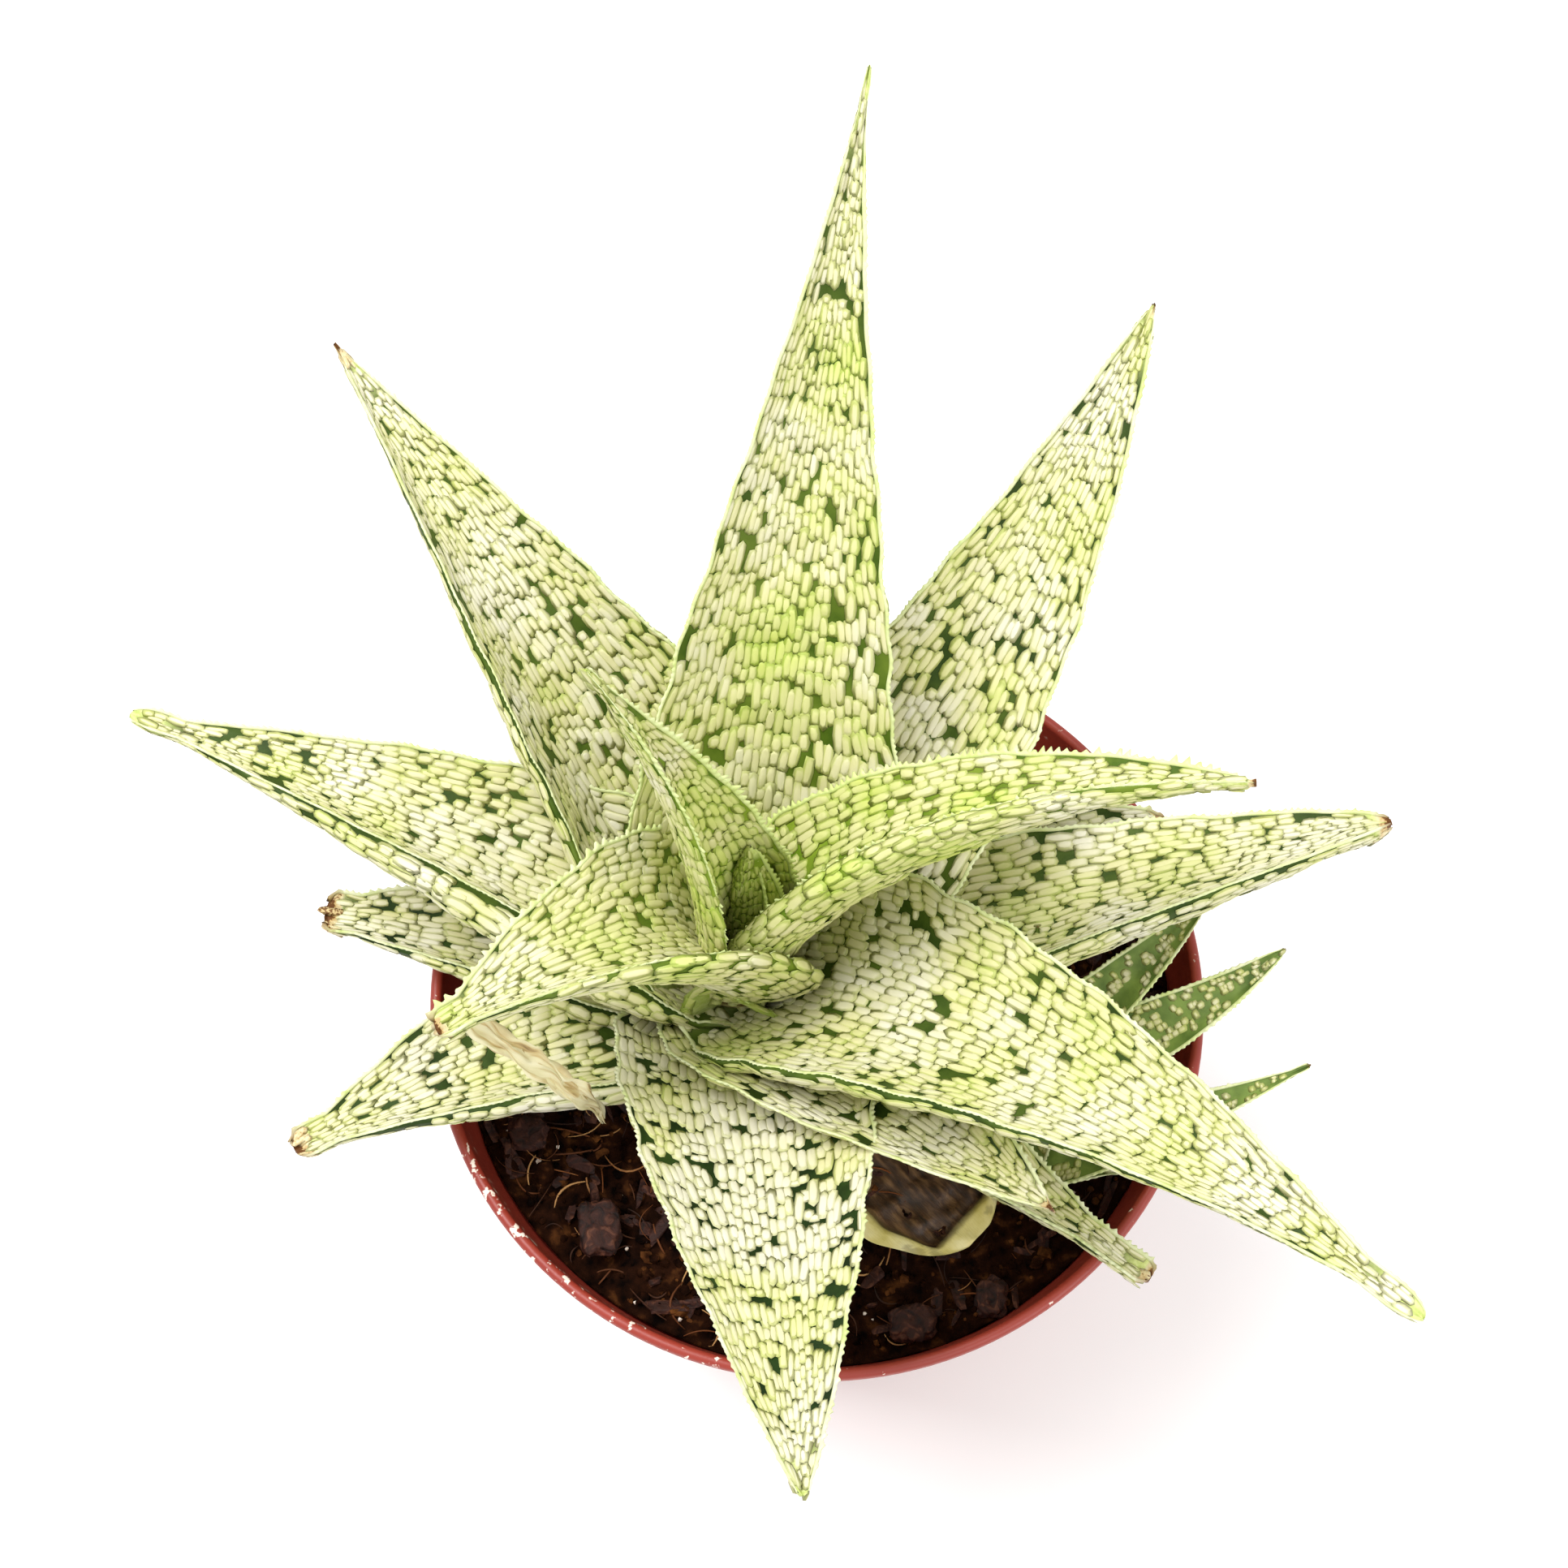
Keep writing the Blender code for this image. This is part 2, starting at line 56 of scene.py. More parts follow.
POT_LOW, POT_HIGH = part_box("pot")
POT_HEIGHT = POT_HIGH.z
RIM_RADIUS = POT_HIGH.x
MIX_LOW, MIX_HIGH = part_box("potting_mix")
MIX_CROWN = 1.5 * MM
MIX_TOP = MIX_HIGH.z - MIX_CROWN
MIX_RADIUS = MIX_HIGH.x
STEM_LOW, STEM_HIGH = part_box("stem")
STEM_AXIS = (STEM_LOW + STEM_HIGH) / 2
STEM_RADIUS = (STEM_HIGH.x - STEM_LOW.x) / 2
STEM_HEIGHT = STEM_HIGH.z - MIX_TOP
STEM_SHOULDER = 24 * MM
STEM_POINT_RADIUS = 2 * MM
SEAT_DEPTH = 2 * MM
RIM_CLEARANCE = 1 * MM
PUP_STEM_RADIUS = 3 * MM
WITHERED_OVERLAP = 4 * MM
LEAST_WIDTH = 0.8 * MM
LEAST_THICKNESS = 0.8 * MM

# ---- Growth table: degrees and millimetres, as the solids were grown ----

Leaf = namedtuple(
    "Leaf",
    "name heading sweep rise_root rise_tip length width thickness roll twist taper channel seat"
    " tip_width tip_thickness tip_round",
    defaults=(0.8, 0.8, 0.03),
)
# How a leaf has aged: young 0 is cream and old, 1 is green; spots is how often its rows break;
# dash is how many rows one break crosses; teeth is their height; dry is the dead share of its tip.
Age = namedtuple("Age", "young spots dash teeth dry", defaults=(0.25, 1.0, 1.3, 0.35, 0.02))

LEAVES = (
    (Leaf("leaf_front_right_low", -36, -4, 17, 9, 72, 24, 5, -12, -10, 1.0, 0.20, 3, 4.5, 2.5),
     Age(0.15, 1.2, 1.3, 0.4, 0.02)),
    (Leaf("leaf_left_short", 168, 7, 15, 10, 61, 22, 5, 5, 3, 0.5, 0.20, 5, 7, 2.5),
     Age(0.1, 1.3, 1.3, 0.4, 0.035)),
    (Leaf("leaf_right_short", 18, 4, 14, 12, 68, 26, 5, 1, 1, 0.4, 0.24, 4, 5, 2.5),
     Age(0.2, 1.0, 1.3, 0.5, 0.03)),
    (Leaf("leaf_front_left_low", 198, 14, 25, 9, 68, 32, 6, 3, 5, 0.8, 0.21, 6, 5, 2.5),
     Age(0.15, 1.0, 1.5, 0.35, 0.03)),
    (Leaf("leaf_right", 7, 3, 23, 21, 97, 31, 6.5, -16, -25, 0.5, 0.17, 9, 4, 2),
     Age(0.25, 0.8, 1.5, 0.35, 0.02)),
    (Leaf("leaf_back_left", 125, 4, 40, 29, 110, 41, 7, 18, -9, 0.97, 0.32, 11),
     Age(0.3, 1.1, 1.3, 0.3, 0.03)),
    (Leaf("leaf_front", -85, 3, 45, 28, 95, 37, 7, 3, -12, 0.7, 0.17, 14, 2.2, 1.4, 0.02),
     Age(0.05, 1.1, 2.2, 0.4, 0.0)),
    (Leaf("leaf_back_right", 42, 21, 38, 38, 113, 35, 7, 12, 1, 0.8, 0.15, 17),
     Age(0.2, 1.3, 1.3, 0.3, 0.015)),
    (Leaf("leaf_front_hidden", -52, 12, 46, 18, 66, 35, 5, 0, -3, 0.8, 0.26, 18),
     Age(0.15, 0.9, 1.3, 0.4, 0.03)),
    (Leaf("leaf_left", 160, 2, 28, 5, 93, 34, 6.5, 8, 0, 0.98, 0.21, 20, 3.4, 2.0, 0.05),
     Age(0.2, 1.3, 1.3, 0.3, 0.0)),
    (Leaf("leaf_front_right", -31, -15, 50, 15, 116, 38, 7, 3, 0, 1.0, 0.22, 23, 3.2, 1.8, 0.04),
     Age(0.2, 0.7, 1.4, 0.25, 0.0)),
    (Leaf("leaf_back_tall", 79, -3, 56, 51, 127, 42, 7, 14, 6, 1.2, 0.16, 26),
     Age(0.35, 1.2, 1.2, 0.25, 0.0)),
    (Leaf("leaf_front_left_folded", 210, 3, 86, -5, 60, 31, 5, 10, 7, 0.74, 0.30, 29, 5, 1.6),
     Age(0.42, 0.6, 1.6, 0.8, 0.02)),
    (Leaf("leaf_right_upper", 12, -23, 70, 19, 90, 24, 5, -24, -14, 0.75, 0.25, 32),
     Age(0.6, 0.8, 1.5, 0.75, 0.01)),
    (Leaf("leaf_centre_left", 155, 15, 90, 68, 80, 18, 4, -15, 15, 1.1, 0.36, 35),
     Age(0.7, 0.35, 1.2, 0.8, 0.0)),
    (Leaf("bud_leaf_outer", 70, 4, 80, 78, 26, 9, 2.0, 8, 8, 0.6, 0.35, 37),
     Age(1.0, 0.3, 1.0, 0.5, 0.0)),
    (Leaf("bud_leaf_inner", -125, 0, 94, 106, 24, 10, 1.8, 0, 0, 0.55, 0.42, 38),
     Age(1.0, 0.2, 1.0, 0.5, 0.0)),
)
OLD_LEAF_BASE = Leaf("old_leaf_base", -46, 2, 1, -1, 47, 28, 8, 0, 0, 0.25, 0.06, 3.5, 26, 7, 0.4)
WITHERED_TIP = Leaf("withered_tip", -15, 5, -55, -78, 40, 5, 1.4, 0, 30, 0.3, 0.10, 0)
PUP_LEAVES = (
    ("pup_a_stem", Leaf("pup_a_leaf_back", 75, 6, 59, 59, 31, 8, 3, 2, 3, 0.6, 0.20, 2)),
    ("pup_a_stem", Leaf("pup_a_leaf_upper", 30, 8, 42, 45, 45, 10, 3, 2, 3, 0.6, 0.20, 1.5)),
    ("pup_a_stem", Leaf("pup_a_leaf_right", 5, 26, 32, 38, 50, 11.5, 3, 5, 4, 0.65, 0.20, 1.5)),
    ("pup_b_stem", Leaf("pup_b_leaf_right", 1, 17, 45, 34, 50, 10, 3, 2, 2, 0.9, 0.20, 1.5)),
    ("pup_b_stem", Leaf("pup_b_leaf_low", -12, 0, 30, 25, 16, 8, 2.4, 0, 0, 0.9, 0.20, 2)),
    ("pup_b_stem", Leaf("pup_b_leaf_back", 60, -8, 60, 60, 20, 7, 2.4, 0, 0, 0.9, 0.20, 2)),
)

# Margins that turn up and show the plump underside below them: (side, share of the half width).
TURNED_MARGINS = {
    "leaf_left": (1, 0.34), "leaf_front_left_low": (1, 0.22), "leaf_left_short": (1, 0.25),
    "leaf_right_upper": (-1, 0.30), "leaf_front_left_folded": (1, 0.2),
    "leaf_front_right": (-1, 0.12), "leaf_right": (-1, 0.12), "leaf_back_left": (1, 0.12),
    "leaf_centre_left": (1, 0.2),
}
SHEATH = 11 * MM              # of each leaf's base, wrapped round the stem below its seat
BUD_SHEATH = 3 * MM

# ---- Skin, tubercles and margins ----

SKIN_AROUND = 56
SKIN_STEP = 0.6 * MM          # between rings of the skin
ROW_PITCH = 1.35 * MM         # between rows of tubercles at a leaf's widest
LEAST_CROWDING = 0.5
ROW_CROWDING = 0.55          # how far the rows draw together as the leaf narrows, as a power
TUBERCLE_LENGTH = (2.2 * MM, 5.4 * MM)
TUBERCLE_SEAM = (0.0, 0.2 * MM)   # between rows
TUBERCLE_GAP = (0.04 * MM, 0.5 * MM)    # between one and the next in a row
TUBERCLE_HEIGHT = 0.27 * MM
TUBERCLE_SIDES = 8
TUBERCLE_SKIRT = (0.26 * MM, 0.46 * MM)
BREAK_AREA = 13 * MM * MM     # of leaf for each break in the rows
BREAK_LENGTH = (1.2 * MM, 3.2 * MM)
BARE_BORDER = 0.5 * MM       # plain strip inside each margin
MARGIN_RADIUS = 0.29 * MM
MARGIN_STEP = 0.27 * MM
TOOTH_PITCH = 1.15 * MM


def colour(text):
    """An sRGB hex colour as linear RGBA."""
    parts = [int(text[start:start + 2], 16) / 255 for start in (1, 3, 5)]
    return [p / 12.92 if p <= 0.04045 else ((p + 0.055) / 1.055) ** 2.4 for p in parts] + [1.0]


def add(tree, kind, settings=None, inputs=None):
    """Adds a node, sets its settings, and sets or links its inputs."""
    made = tree.nodes.new(kind)
    for name, value in (settings or {}).items():
        setattr(made, name, value)
    for socket, value in (inputs or {}).items():
        if isinstance(value, bpy.types.NodeSocket):
            tree.links.new(value, made.inputs[socket])
        else:
            made.inputs[socket].default_value = value
    return made


def new_material(name):
    """(material, its node tree, its shader)"""
    material = bpy.data.materials.new(name)
    material.use_nodes = True
    tree = material.node_tree
    return material, tree, tree.nodes["Principled BSDF"]


def ramp(made, *stops):
    """Sets a colour ramp's stops, each (place, colour)."""
    elements = made.color_ramp.elements
    while len(elements) < len(stops):
        elements.new(0.5)
    for element, (place, value) in zip(elements, stops):
        element.position = place
        element.color = value
    return made


# ---- Materials ----

def leaf_skin_material():
    """Aloe epidermis, waxy and smooth: deep green where the rows of tubercles part and along the
    margins, brighter on the youngest leaves, whitish green at the bare tips, straw brown where it died.
    The sheaths round the stem, which lie in shade, get the same whitish green as painted light."""
    material, tree, shader = new_material("aloe_epidermis")
    place = add(tree, "ShaderNodeTexCoord").outputs["Object"]
    young = add(tree, "ShaderNodeAttribute", {"attribute_name": "young"}).outputs["Fac"]
    pale = add(tree, "ShaderNodeAttribute", {"attribute_name": "pale"}).outputs["Fac"]
    dry = add(tree, "ShaderNodeAttribute", {"attribute_name": "dry"}).outputs["Fac"]
    cloud = add(tree, "ShaderNodeTexNoise", None, {"Vector": place, "Scale": 160, "Detail": 3})
    grain = add(tree, "ShaderNodeTexNoise", None, {"Vector": place, "Scale": 1400, "Detail": 4})
    old_green = ramp(
        add(tree, "ShaderNodeValToRGB", None, {"Fac": cloud.outputs["Fac"]}),
        (0.35, colour("#071A05")), (0.65, colour("#1B350D")),
    )
    new_green = ramp(
        add(tree, "ShaderNodeValToRGB", None, {"Fac": cloud.outputs["Fac"]}),
        (0.35, colour("#6F9418")), (0.65, colour("#A6BE3C")),
    )
    base = add(tree, "ShaderNodeMix", {"data_type": "RGBA"},
               {0: young, 6: old_green.outputs[0], 7: new_green.outputs[0]}).outputs[2]
    light = ramp(
        add(tree, "ShaderNodeValToRGB", None, {"Fac": grain.outputs["Fac"]}),
        (0.3, colour("#AFBE62")), (0.7, colour("#D6DC98")),
    )
    # Painted light: the whitish green goes on the bare tips, and on the sheaths round the stem, where shade falls,
    # so that they read as lit.
    fresh = add(tree, "ShaderNodeMix", {"data_type": "RGBA"},
                {0: pale, 6: base, 7: light.outputs[0]}).outputs[2]
    withering = add(tree, "ShaderNodeMath", {"operation": "MULTIPLY_ADD"},
                    {0: dry, 1: 0.75, 2: grain.outputs["Fac"]})
    straw = ramp(
        add(tree, "ShaderNodeValToRGB", None, {"Fac": withering.outputs[0]}),
        (0.55, colour("#DDD5AC")), (0.95, colour("#C2A26A")), (1.25, colour("#6B4522")),
    )
    died = add(tree, "ShaderNodeMath", {"operation": "MULTIPLY", "use_clamp": True}, {0: dry, 1: 4.0})
    skin = add(tree, "ShaderNodeMix", {"data_type": "RGBA"},
               {0: died.outputs[0], 6: fresh, 7: straw.outputs[0]}).outputs[2]
    bump = add(tree, "ShaderNodeBump", None,
               {"Height": grain.outputs["Fac"], "Strength": 0.5, "Distance": 0.0001})
    tree.links.new(skin, shader.inputs["Base Color"])
    tree.links.new(bump.outputs[0], shader.inputs["Normal"])
    shader.inputs["Roughness"].default_value = 0.55
    shader.inputs["Specular IOR Level"].default_value = 0.2
    return material


def tubercle_material():
    """The raised tubercles: a dead-white waxy bloom over green flesh, white on the crown, lime down
    the sides and in the seams, each its own shade, with a fine pimpled surface."""
    material, tree, shader = new_material("aloe_tubercle_wax")
    place = add(tree, "ShaderNodeTexCoord").outputs["Object"]
    young = add(tree, "ShaderNodeAttribute", {"attribute_name": "young"}).outputs["Fac"]
    green = add(tree, "ShaderNodeAttribute", {"attribute_name": "green"}).outputs["Fac"]
    tone = add(tree, "ShaderNodeAttribute", {"attribute_name": "tone"}).outputs["Fac"]
    dry = add(tree, "ShaderNodeAttribute", {"attribute_name": "dry"}).outputs["Fac"]
    patch = add(tree, "ShaderNodeTexNoise", None, {"Vector": place, "Scale": 75, "Detail": 2})
    grain = add(tree, "ShaderNodeTexNoise", None, {"Vector": place, "Scale": 2600, "Detail": 3})
    greening = add(tree, "ShaderNodeMath", {"operation": "MULTIPLY_ADD"},
                   {0: patch.outputs["Fac"], 1: 1.7, 2: -0.8})
    shade = add(tree, "ShaderNodeMath", {"operation": "MULTIPLY_ADD"},
                {0: tone, 1: 0.26, 2: greening.outputs[0]})
    lime = add(tree, "ShaderNodeMath", {"operation": "MULTIPLY_ADD", "use_clamp": True},
               {0: young, 1: 0.7, 2: shade.outputs[0]})
    crown = ramp(
        add(tree, "ShaderNodeValToRGB", None, {"Fac": lime.outputs[0]}),
        (0.0, colour("#DEDAC4")), (0.45, colour("#D6D29E")), (1.0, colour("#C4CD6E")),
    )
    seam = ramp(
        add(tree, "ShaderNodeValToRGB", None, {"Fac": lime.outputs[0]}),
        (0.0, colour("#C3C298")), (0.45, colour("#B6BA70")), (1.0, colour("#9DB242")),
    )
    wax = add(tree, "ShaderNodeMix", {"data_type": "RGBA"},
              {0: green, 6: crown.outputs[0], 7: seam.outputs[0]}).outputs[2]
    withering = add(tree, "ShaderNodeMath", {"operation": "MULTIPLY_ADD"},
                    {0: dry, 1: 0.75, 2: grain.outputs["Fac"]})
    straw = ramp(
        add(tree, "ShaderNodeValToRGB", None, {"Fac": withering.outputs[0]}),
        (0.55, colour("#E4DCB4")), (0.95, colour("#CDB27C")), (1.25, colour("#7A5530")),
    )
    died = add(tree, "ShaderNodeMath", {"operation": "MULTIPLY", "use_clamp": True}, {0: dry, 1: 4.0})
    coat = add(tree, "ShaderNodeMix", {"data_type": "RGBA"},
               {0: died.outputs[0], 6: wax, 7: straw.outputs[0]}).outputs[2]
    bump = add(tree, "ShaderNodeBump", None,
               {"Height": grain.outputs["Fac"], "Strength": 0.35, "Distance": 0.00006})
    tree.links.new(coat, shader.inputs["Base Color"])
    tree.links.new(bump.outputs[0], shader.inputs["Normal"])
    shader.inputs["Roughness"].default_value = 0.5
    shader.inputs["Specular IOR Level"].default_value = 0.4
    return material


def margin_material():
    """Cartilage of the margin and its teeth: smooth, horny, cream white, browned where it dried."""
    material, tree, shader = new_material("aloe_margin_cartilage")
    place = add(tree, "ShaderNodeTexCoord").outputs["Object"]
    young = add(tree, "ShaderNodeAttribute", {"attribute_name": "young"}).outputs["Fac"]
    dry = add(tree, "ShaderNodeAttribute", {"attribute_name": "dry"}).outputs["Fac"]
    patch = add(tree, "ShaderNodeTexNoise", None, {"Vector": place, "Scale": 260, "Detail": 3})
    horn = ramp(
        add(tree, "ShaderNodeValToRGB", None, {"Fac": patch.outputs["Fac"]}),
        (0.3, colour("#BECA80")), (0.6, colour("#DFE0BE")),
    )
    fresh = add(tree, "ShaderNodeMix", {"data_type": "RGBA"},
                {0: young, 6: horn.outputs[0], 7: colour("#CFDE84")}).outputs[2]
    browned = add(tree, "ShaderNodeMix", {"data_type": "RGBA"},
                  {0: dry, 6: fresh, 7: colour("#8A6232")}).outputs[2]
    tree.links.new(browned, shader.inputs["Base Color"])
    shader.inputs["Roughness"].default_value = 0.38
    shader.inputs["IOR"].default_value = 1.45
    return material


def offset_skin_material():
    """Skin of the offsets, grown in the shade: dark matt green in soft patches, browned where it dried."""
    material, tree, shader = new_material("aloe_offset_epidermis")
    place = add(tree, "ShaderNodeTexCoord").outputs["Object"]
    dry = add(tree, "ShaderNodeAttribute", {"attribute_name": "dry"}).outputs["Fac"]
    cloud = add(tree, "ShaderNodeTexNoise", None, {"Vector": place, "Scale": 240, "Detail": 3})
    grain = add(tree, "ShaderNodeTexNoise", None, {"Vector": place, "Scale": 1800, "Detail": 3})
    green = ramp(
        add(tree, "ShaderNodeValToRGB", None, {"Fac": cloud.outputs["Fac"]}),
        (0.3, colour("#465F20")), (0.7, colour("#7D9444")),
    )
    skin = add(tree, "ShaderNodeMix", {"data_type": "RGBA"},
               {0: dry, 6: green.outputs[0], 7: colour("#7A5A30")}).outputs[2]
    bump = add(tree, "ShaderNodeBump", None,
               {"Height": grain.outputs["Fac"], "Strength": 0.4, "Distance": 0.0001})
    tree.links.new(skin, shader.inputs["Base Color"])
    tree.links.new(bump.outputs[0], shader.inputs["Normal"])
    shader.inputs["Roughness"].default_value = 0.5
    return material


def dead_leaf_material():
    """Dead leaf tissue, dried and folded: straw and brown fibres running lengthwise."""
    material, tree, shader = new_material("dried_leaf_tissue")
    along = add(tree, "ShaderNodeAttribute", {"attribute_name": "fibre"}).outputs["Vector"]
    streak = add(tree, "ShaderNodeTexNoise", None, {"Vector": along, "Scale": 900, "Detail": 5})
    tone = ramp(
        add(tree, "ShaderNodeValToRGB", None, {"Fac": streak.outputs["Fac"]}),
        (0.3, colour("#6B4A28")), (0.4, colour("#C6AE78")), (0.52, colour("#E0D8AE")),
        (0.8, colour("#EFE9CC")),
    )
    bump = add(tree, "ShaderNodeBump", None,
               {"Height": streak.outputs["Fac"], "Strength": 0.8, "Distance": 0.0003})
    tree.links.new(tone.outputs[0], shader.inputs["Base Color"])
    tree.links.new(bump.outputs[0], shader.inputs["Normal"])
    shader.inputs["Roughness"].default_value = 0.7
    return material


def old_base_material():
    """The dying leaf base: its thick rim still cream yellow and waxy, its top shrunk and brown."""
    material, tree, shader = new_material("dying_leaf_base")
    place = add(tree, "ShaderNodeTexCoord").outputs["Object"]
    dry = add(tree, "ShaderNodeAttribute", {"attribute_name": "dry"}).outputs["Fac"]
    cloud = add(tree, "ShaderNodeTexNoise", None, {"Vector": place, "Scale": 180, "Detail": 4})
    lengthwise = add(tree, "ShaderNodeMapping", {"vector_type": "TEXTURE"}, {
        0: place, "Rotation": (0, 0, radians(OLD_LEAF_BASE.heading)), "Scale": (4, 1, 1)})
    grain = add(tree, "ShaderNodeTexNoise", None,
                {"Vector": lengthwise.outputs[0], "Scale": 900, "Detail": 6})
    fresh = ramp(
        add(tree, "ShaderNodeValToRGB", None, {"Fac": cloud.outputs["Fac"]}),
        (0.3, colour("#C3B45C")), (0.5, colour("#DDD08A")), (0.75, colour("#ECE5B8")),
    )
    husk = ramp(
        add(tree, "ShaderNodeValToRGB", None, {"Fac": grain.outputs["Fac"]}),
        (0.3, colour("#1C1007")), (0.5, colour("#452C17")), (0.72, colour("#7C5C3A")),
    )
    tone = add(tree, "ShaderNodeMix", {"data_type": "RGBA"},
               {0: dry, 6: fresh.outputs[0], 7: husk.outputs[0]}).outputs[2]
    bump = add(tree, "ShaderNodeBump", None,
               {"Height": grain.outputs["Fac"], "Strength": 0.7, "Distance": 0.0004})
    tree.links.new(tone, shader.inputs["Base Color"])
    tree.links.new(bump.outputs[0], shader.inputs["Normal"])
    shader.inputs["Roughness"].default_value = 0.55
    return material


def peat_material():
    """Moist peat: very dark brown crumbs, a little lighter where they dried."""
    material, tree, shader = new_material("moist_peat")
    place = add(tree, "ShaderNodeTexCoord").outputs["Object"]
    tone = add(tree, "ShaderNodeAttribute", {"attribute_name": "tone"}).outputs["Fac"]
    cloud = add(tree, "ShaderNodeTexNoise", None, {"Vector": place, "Scale": 420, "Detail": 6})
    lit = add(tree, "ShaderNodeMath", {"operation": "MULTIPLY_ADD"},
              {0: tone, 1: 0.35, 2: cloud.outputs["Fac"]})
    brown = ramp(
        add(tree, "ShaderNodeValToRGB", None, {"Fac": lit.outputs[0]}),
        (0.4, colour("#060201")), (0.65, colour("#241006")), (1.0, colour("#6A401F")),
    )
    bump = add(tree, "ShaderNodeBump", None,
               {"Height": cloud.outputs["Fac"], "Strength": 0.9, "Distance": 0.0006})
    tree.links.new(brown.outputs[0], shader.inputs["Base Color"])
    tree.links.new(bump.outputs[0], shader.inputs["Normal"])
    shader.inputs["Roughness"].default_value = 0.86
    shader.inputs["Specular IOR Level"].default_value = 0.04
    return material


def fibre_material():
    """Coir and root fibres: dry, straw to rust brown, each its own shade."""
    material, tree, shader = new_material("coir_fibre")
    tone = add(tree, "ShaderNodeAttribute", {"attribute_name": "tone"}).outputs["Fac"]
    place = add(tree, "ShaderNodeTexCoord").outputs["Object"]
    mottle = add(tree, "ShaderNodeTexNoise", None, {"Vector": place, "Scale": 900, "Detail": 3})
    lit = add(tree, "ShaderNodeMath", {"operation": "MULTIPLY_ADD"},
              {0: mottle.outputs["Fac"], 1: 0.3, 2: tone})
    brown = ramp(
        add(tree, "ShaderNodeValToRGB", None, {"Fac": lit.outputs[0]}),
        (0.15, colour("#1E0D05")), (0.7, colour("#74401B")), (1.0, colour("#B98C58")),
    )
    tree.links.new(brown.outputs[0], shader.inputs["Base Color"])
    shader.inputs["Roughness"].default_value = 0.65
    shader.inputs["Specular IOR Level"].default_value = 0.25
    return material


def bark_material():
    """Pine bark: layered, red brown from near black to tan, rough."""
    material, tree, shader = new_material("pine_bark")
    place = add(tree, "ShaderNodeTexCoord").outputs["Object"]
    grain = add(tree, "ShaderNodeTexNoise", None,
                {"Vector": place, "Scale": 520, "Detail": 7, "Distortion": 1.2})
    tone = ramp(
        add(tree, "ShaderNodeValToRGB", None, {"Fac": grain.outputs["Fac"]}),
        (0.3, colour("#120603")), (0.55, colour("#35160B")), (0.8, colour("#704530")),
    )
    bump = add(tree, "ShaderNodeBump", None,
               {"Height": grain.outputs["Fac"], "Strength": 0.9, "Distance": 0.0006})
    tree.links.new(tone.outputs[0], shader.inputs["Base Color"])
    tree.links.new(bump.outputs[0], shader.inputs["Normal"])
    shader.inputs["Roughness"].default_value = 0.7
    shader.inputs["Specular IOR Level"].default_value = 0.3
    return material


def perlite_material():
    """Perlite and lime grains: chalky off-white."""
    material, tree, shader = new_material("perlite_grain")
    place = add(tree, "ShaderNodeTexCoord").outputs["Object"]
    mottle = add(tree, "ShaderNodeTexNoise", None, {"Vector": place, "Scale": 1500, "Detail": 3})
    tone = ramp(
        add(tree, "ShaderNodeValToRGB", None, {"Fac": mottle.outputs["Fac"]}),
        (0.3, colour("#B9A08C")), (0.6, colour("#F1E6DA")),
    )
    tree.links.new(tone.outputs[0], shader.inputs["Base Color"])
    shader.inputs["Roughness"].default_value = 0.77
    return material


def pot_material():
    """Thermoformed polypropylene, terracotta red: satin, with lime scale and dust on the rim and
    fine scuffs down the wall."""
    material, tree, shader = new_material("terracotta_polypropylene")
    place = add(tree, "ShaderNodeTexCoord").outputs["Object"]
    cloud = add(tree, "ShaderNodeTexNoise", None, {"Vector": place, "Scale": 45, "Detail": 4})
    fine = add(tree, "ShaderNodeTexNoise", None, {"Vector": place, "Scale": 1300, "Detail": 5})
    plastic = ramp(
        add(tree, "ShaderNodeValToRGB", None, {"Fac": cloud.outputs["Fac"]}),
        (0.3, colour("#8E3023")), (0.7, colour("#983629")),
    )
    # Lime scale: only on the top few millimetres, thickest round the front left of the rim.
    axes = add(tree, "ShaderNodeSeparateXYZ", None, {0: place}).outputs
    height = add(tree, "ShaderNodeMapRange", None,
                 {0: axes[2], 1: POT_HEIGHT - 0.004, 2: POT_HEIGHT - 0.0005})
    side = add(tree, "ShaderNodeMath", {"operation": "ADD"}, {0: axes[0], 1: axes[1]})
    front = add(tree, "ShaderNodeMapRange", None, {0: side.outputs[0], 1: -0.066, 2: -0.082})
    patch = add(tree, "ShaderNodeTexNoise", None, {"Vector": place, "Scale": 700, "Detail": 6})
    amount = add(tree, "ShaderNodeMath", {"operation": "MULTIPLY"},
                 {0: front.outputs[0], 1: 0.12})
    level = add(tree, "ShaderNodeMath", {"operation": "ADD"},
                {0: patch.outputs["Fac"], 1: amount.outputs[0]})
    crust = add(tree, "ShaderNodeMapRange", None, {0: level.outputs[0], 1: 0.69, 2: 0.74})
    scale = add(tree, "ShaderNodeMath", {"operation": "MULTIPLY"},
                {0: crust.outputs[0], 1: height.outputs[0]})
    tone = add(tree, "ShaderNodeMix", {"data_type": "RGBA"},
               {0: scale.outputs[0], 6: plastic.outputs[0], 7: colour("#EFE0D2")}).outputs[2]
    rough = add(tree, "ShaderNodeMapRange", None, {0: fine.outputs["Fac"], 3: 0.34, 4: 0.52})
    bump = add(tree, "ShaderNodeBump", None,
               {"Height": fine.outputs["Fac"], "Strength": 0.25, "Distance": 0.0001})
    tree.links.new(tone, shader.inputs["Base Color"])
    tree.links.new(rough.outputs[0], shader.inputs["Roughness"])
    tree.links.new(bump.outputs[0], shader.inputs["Normal"])
    return material


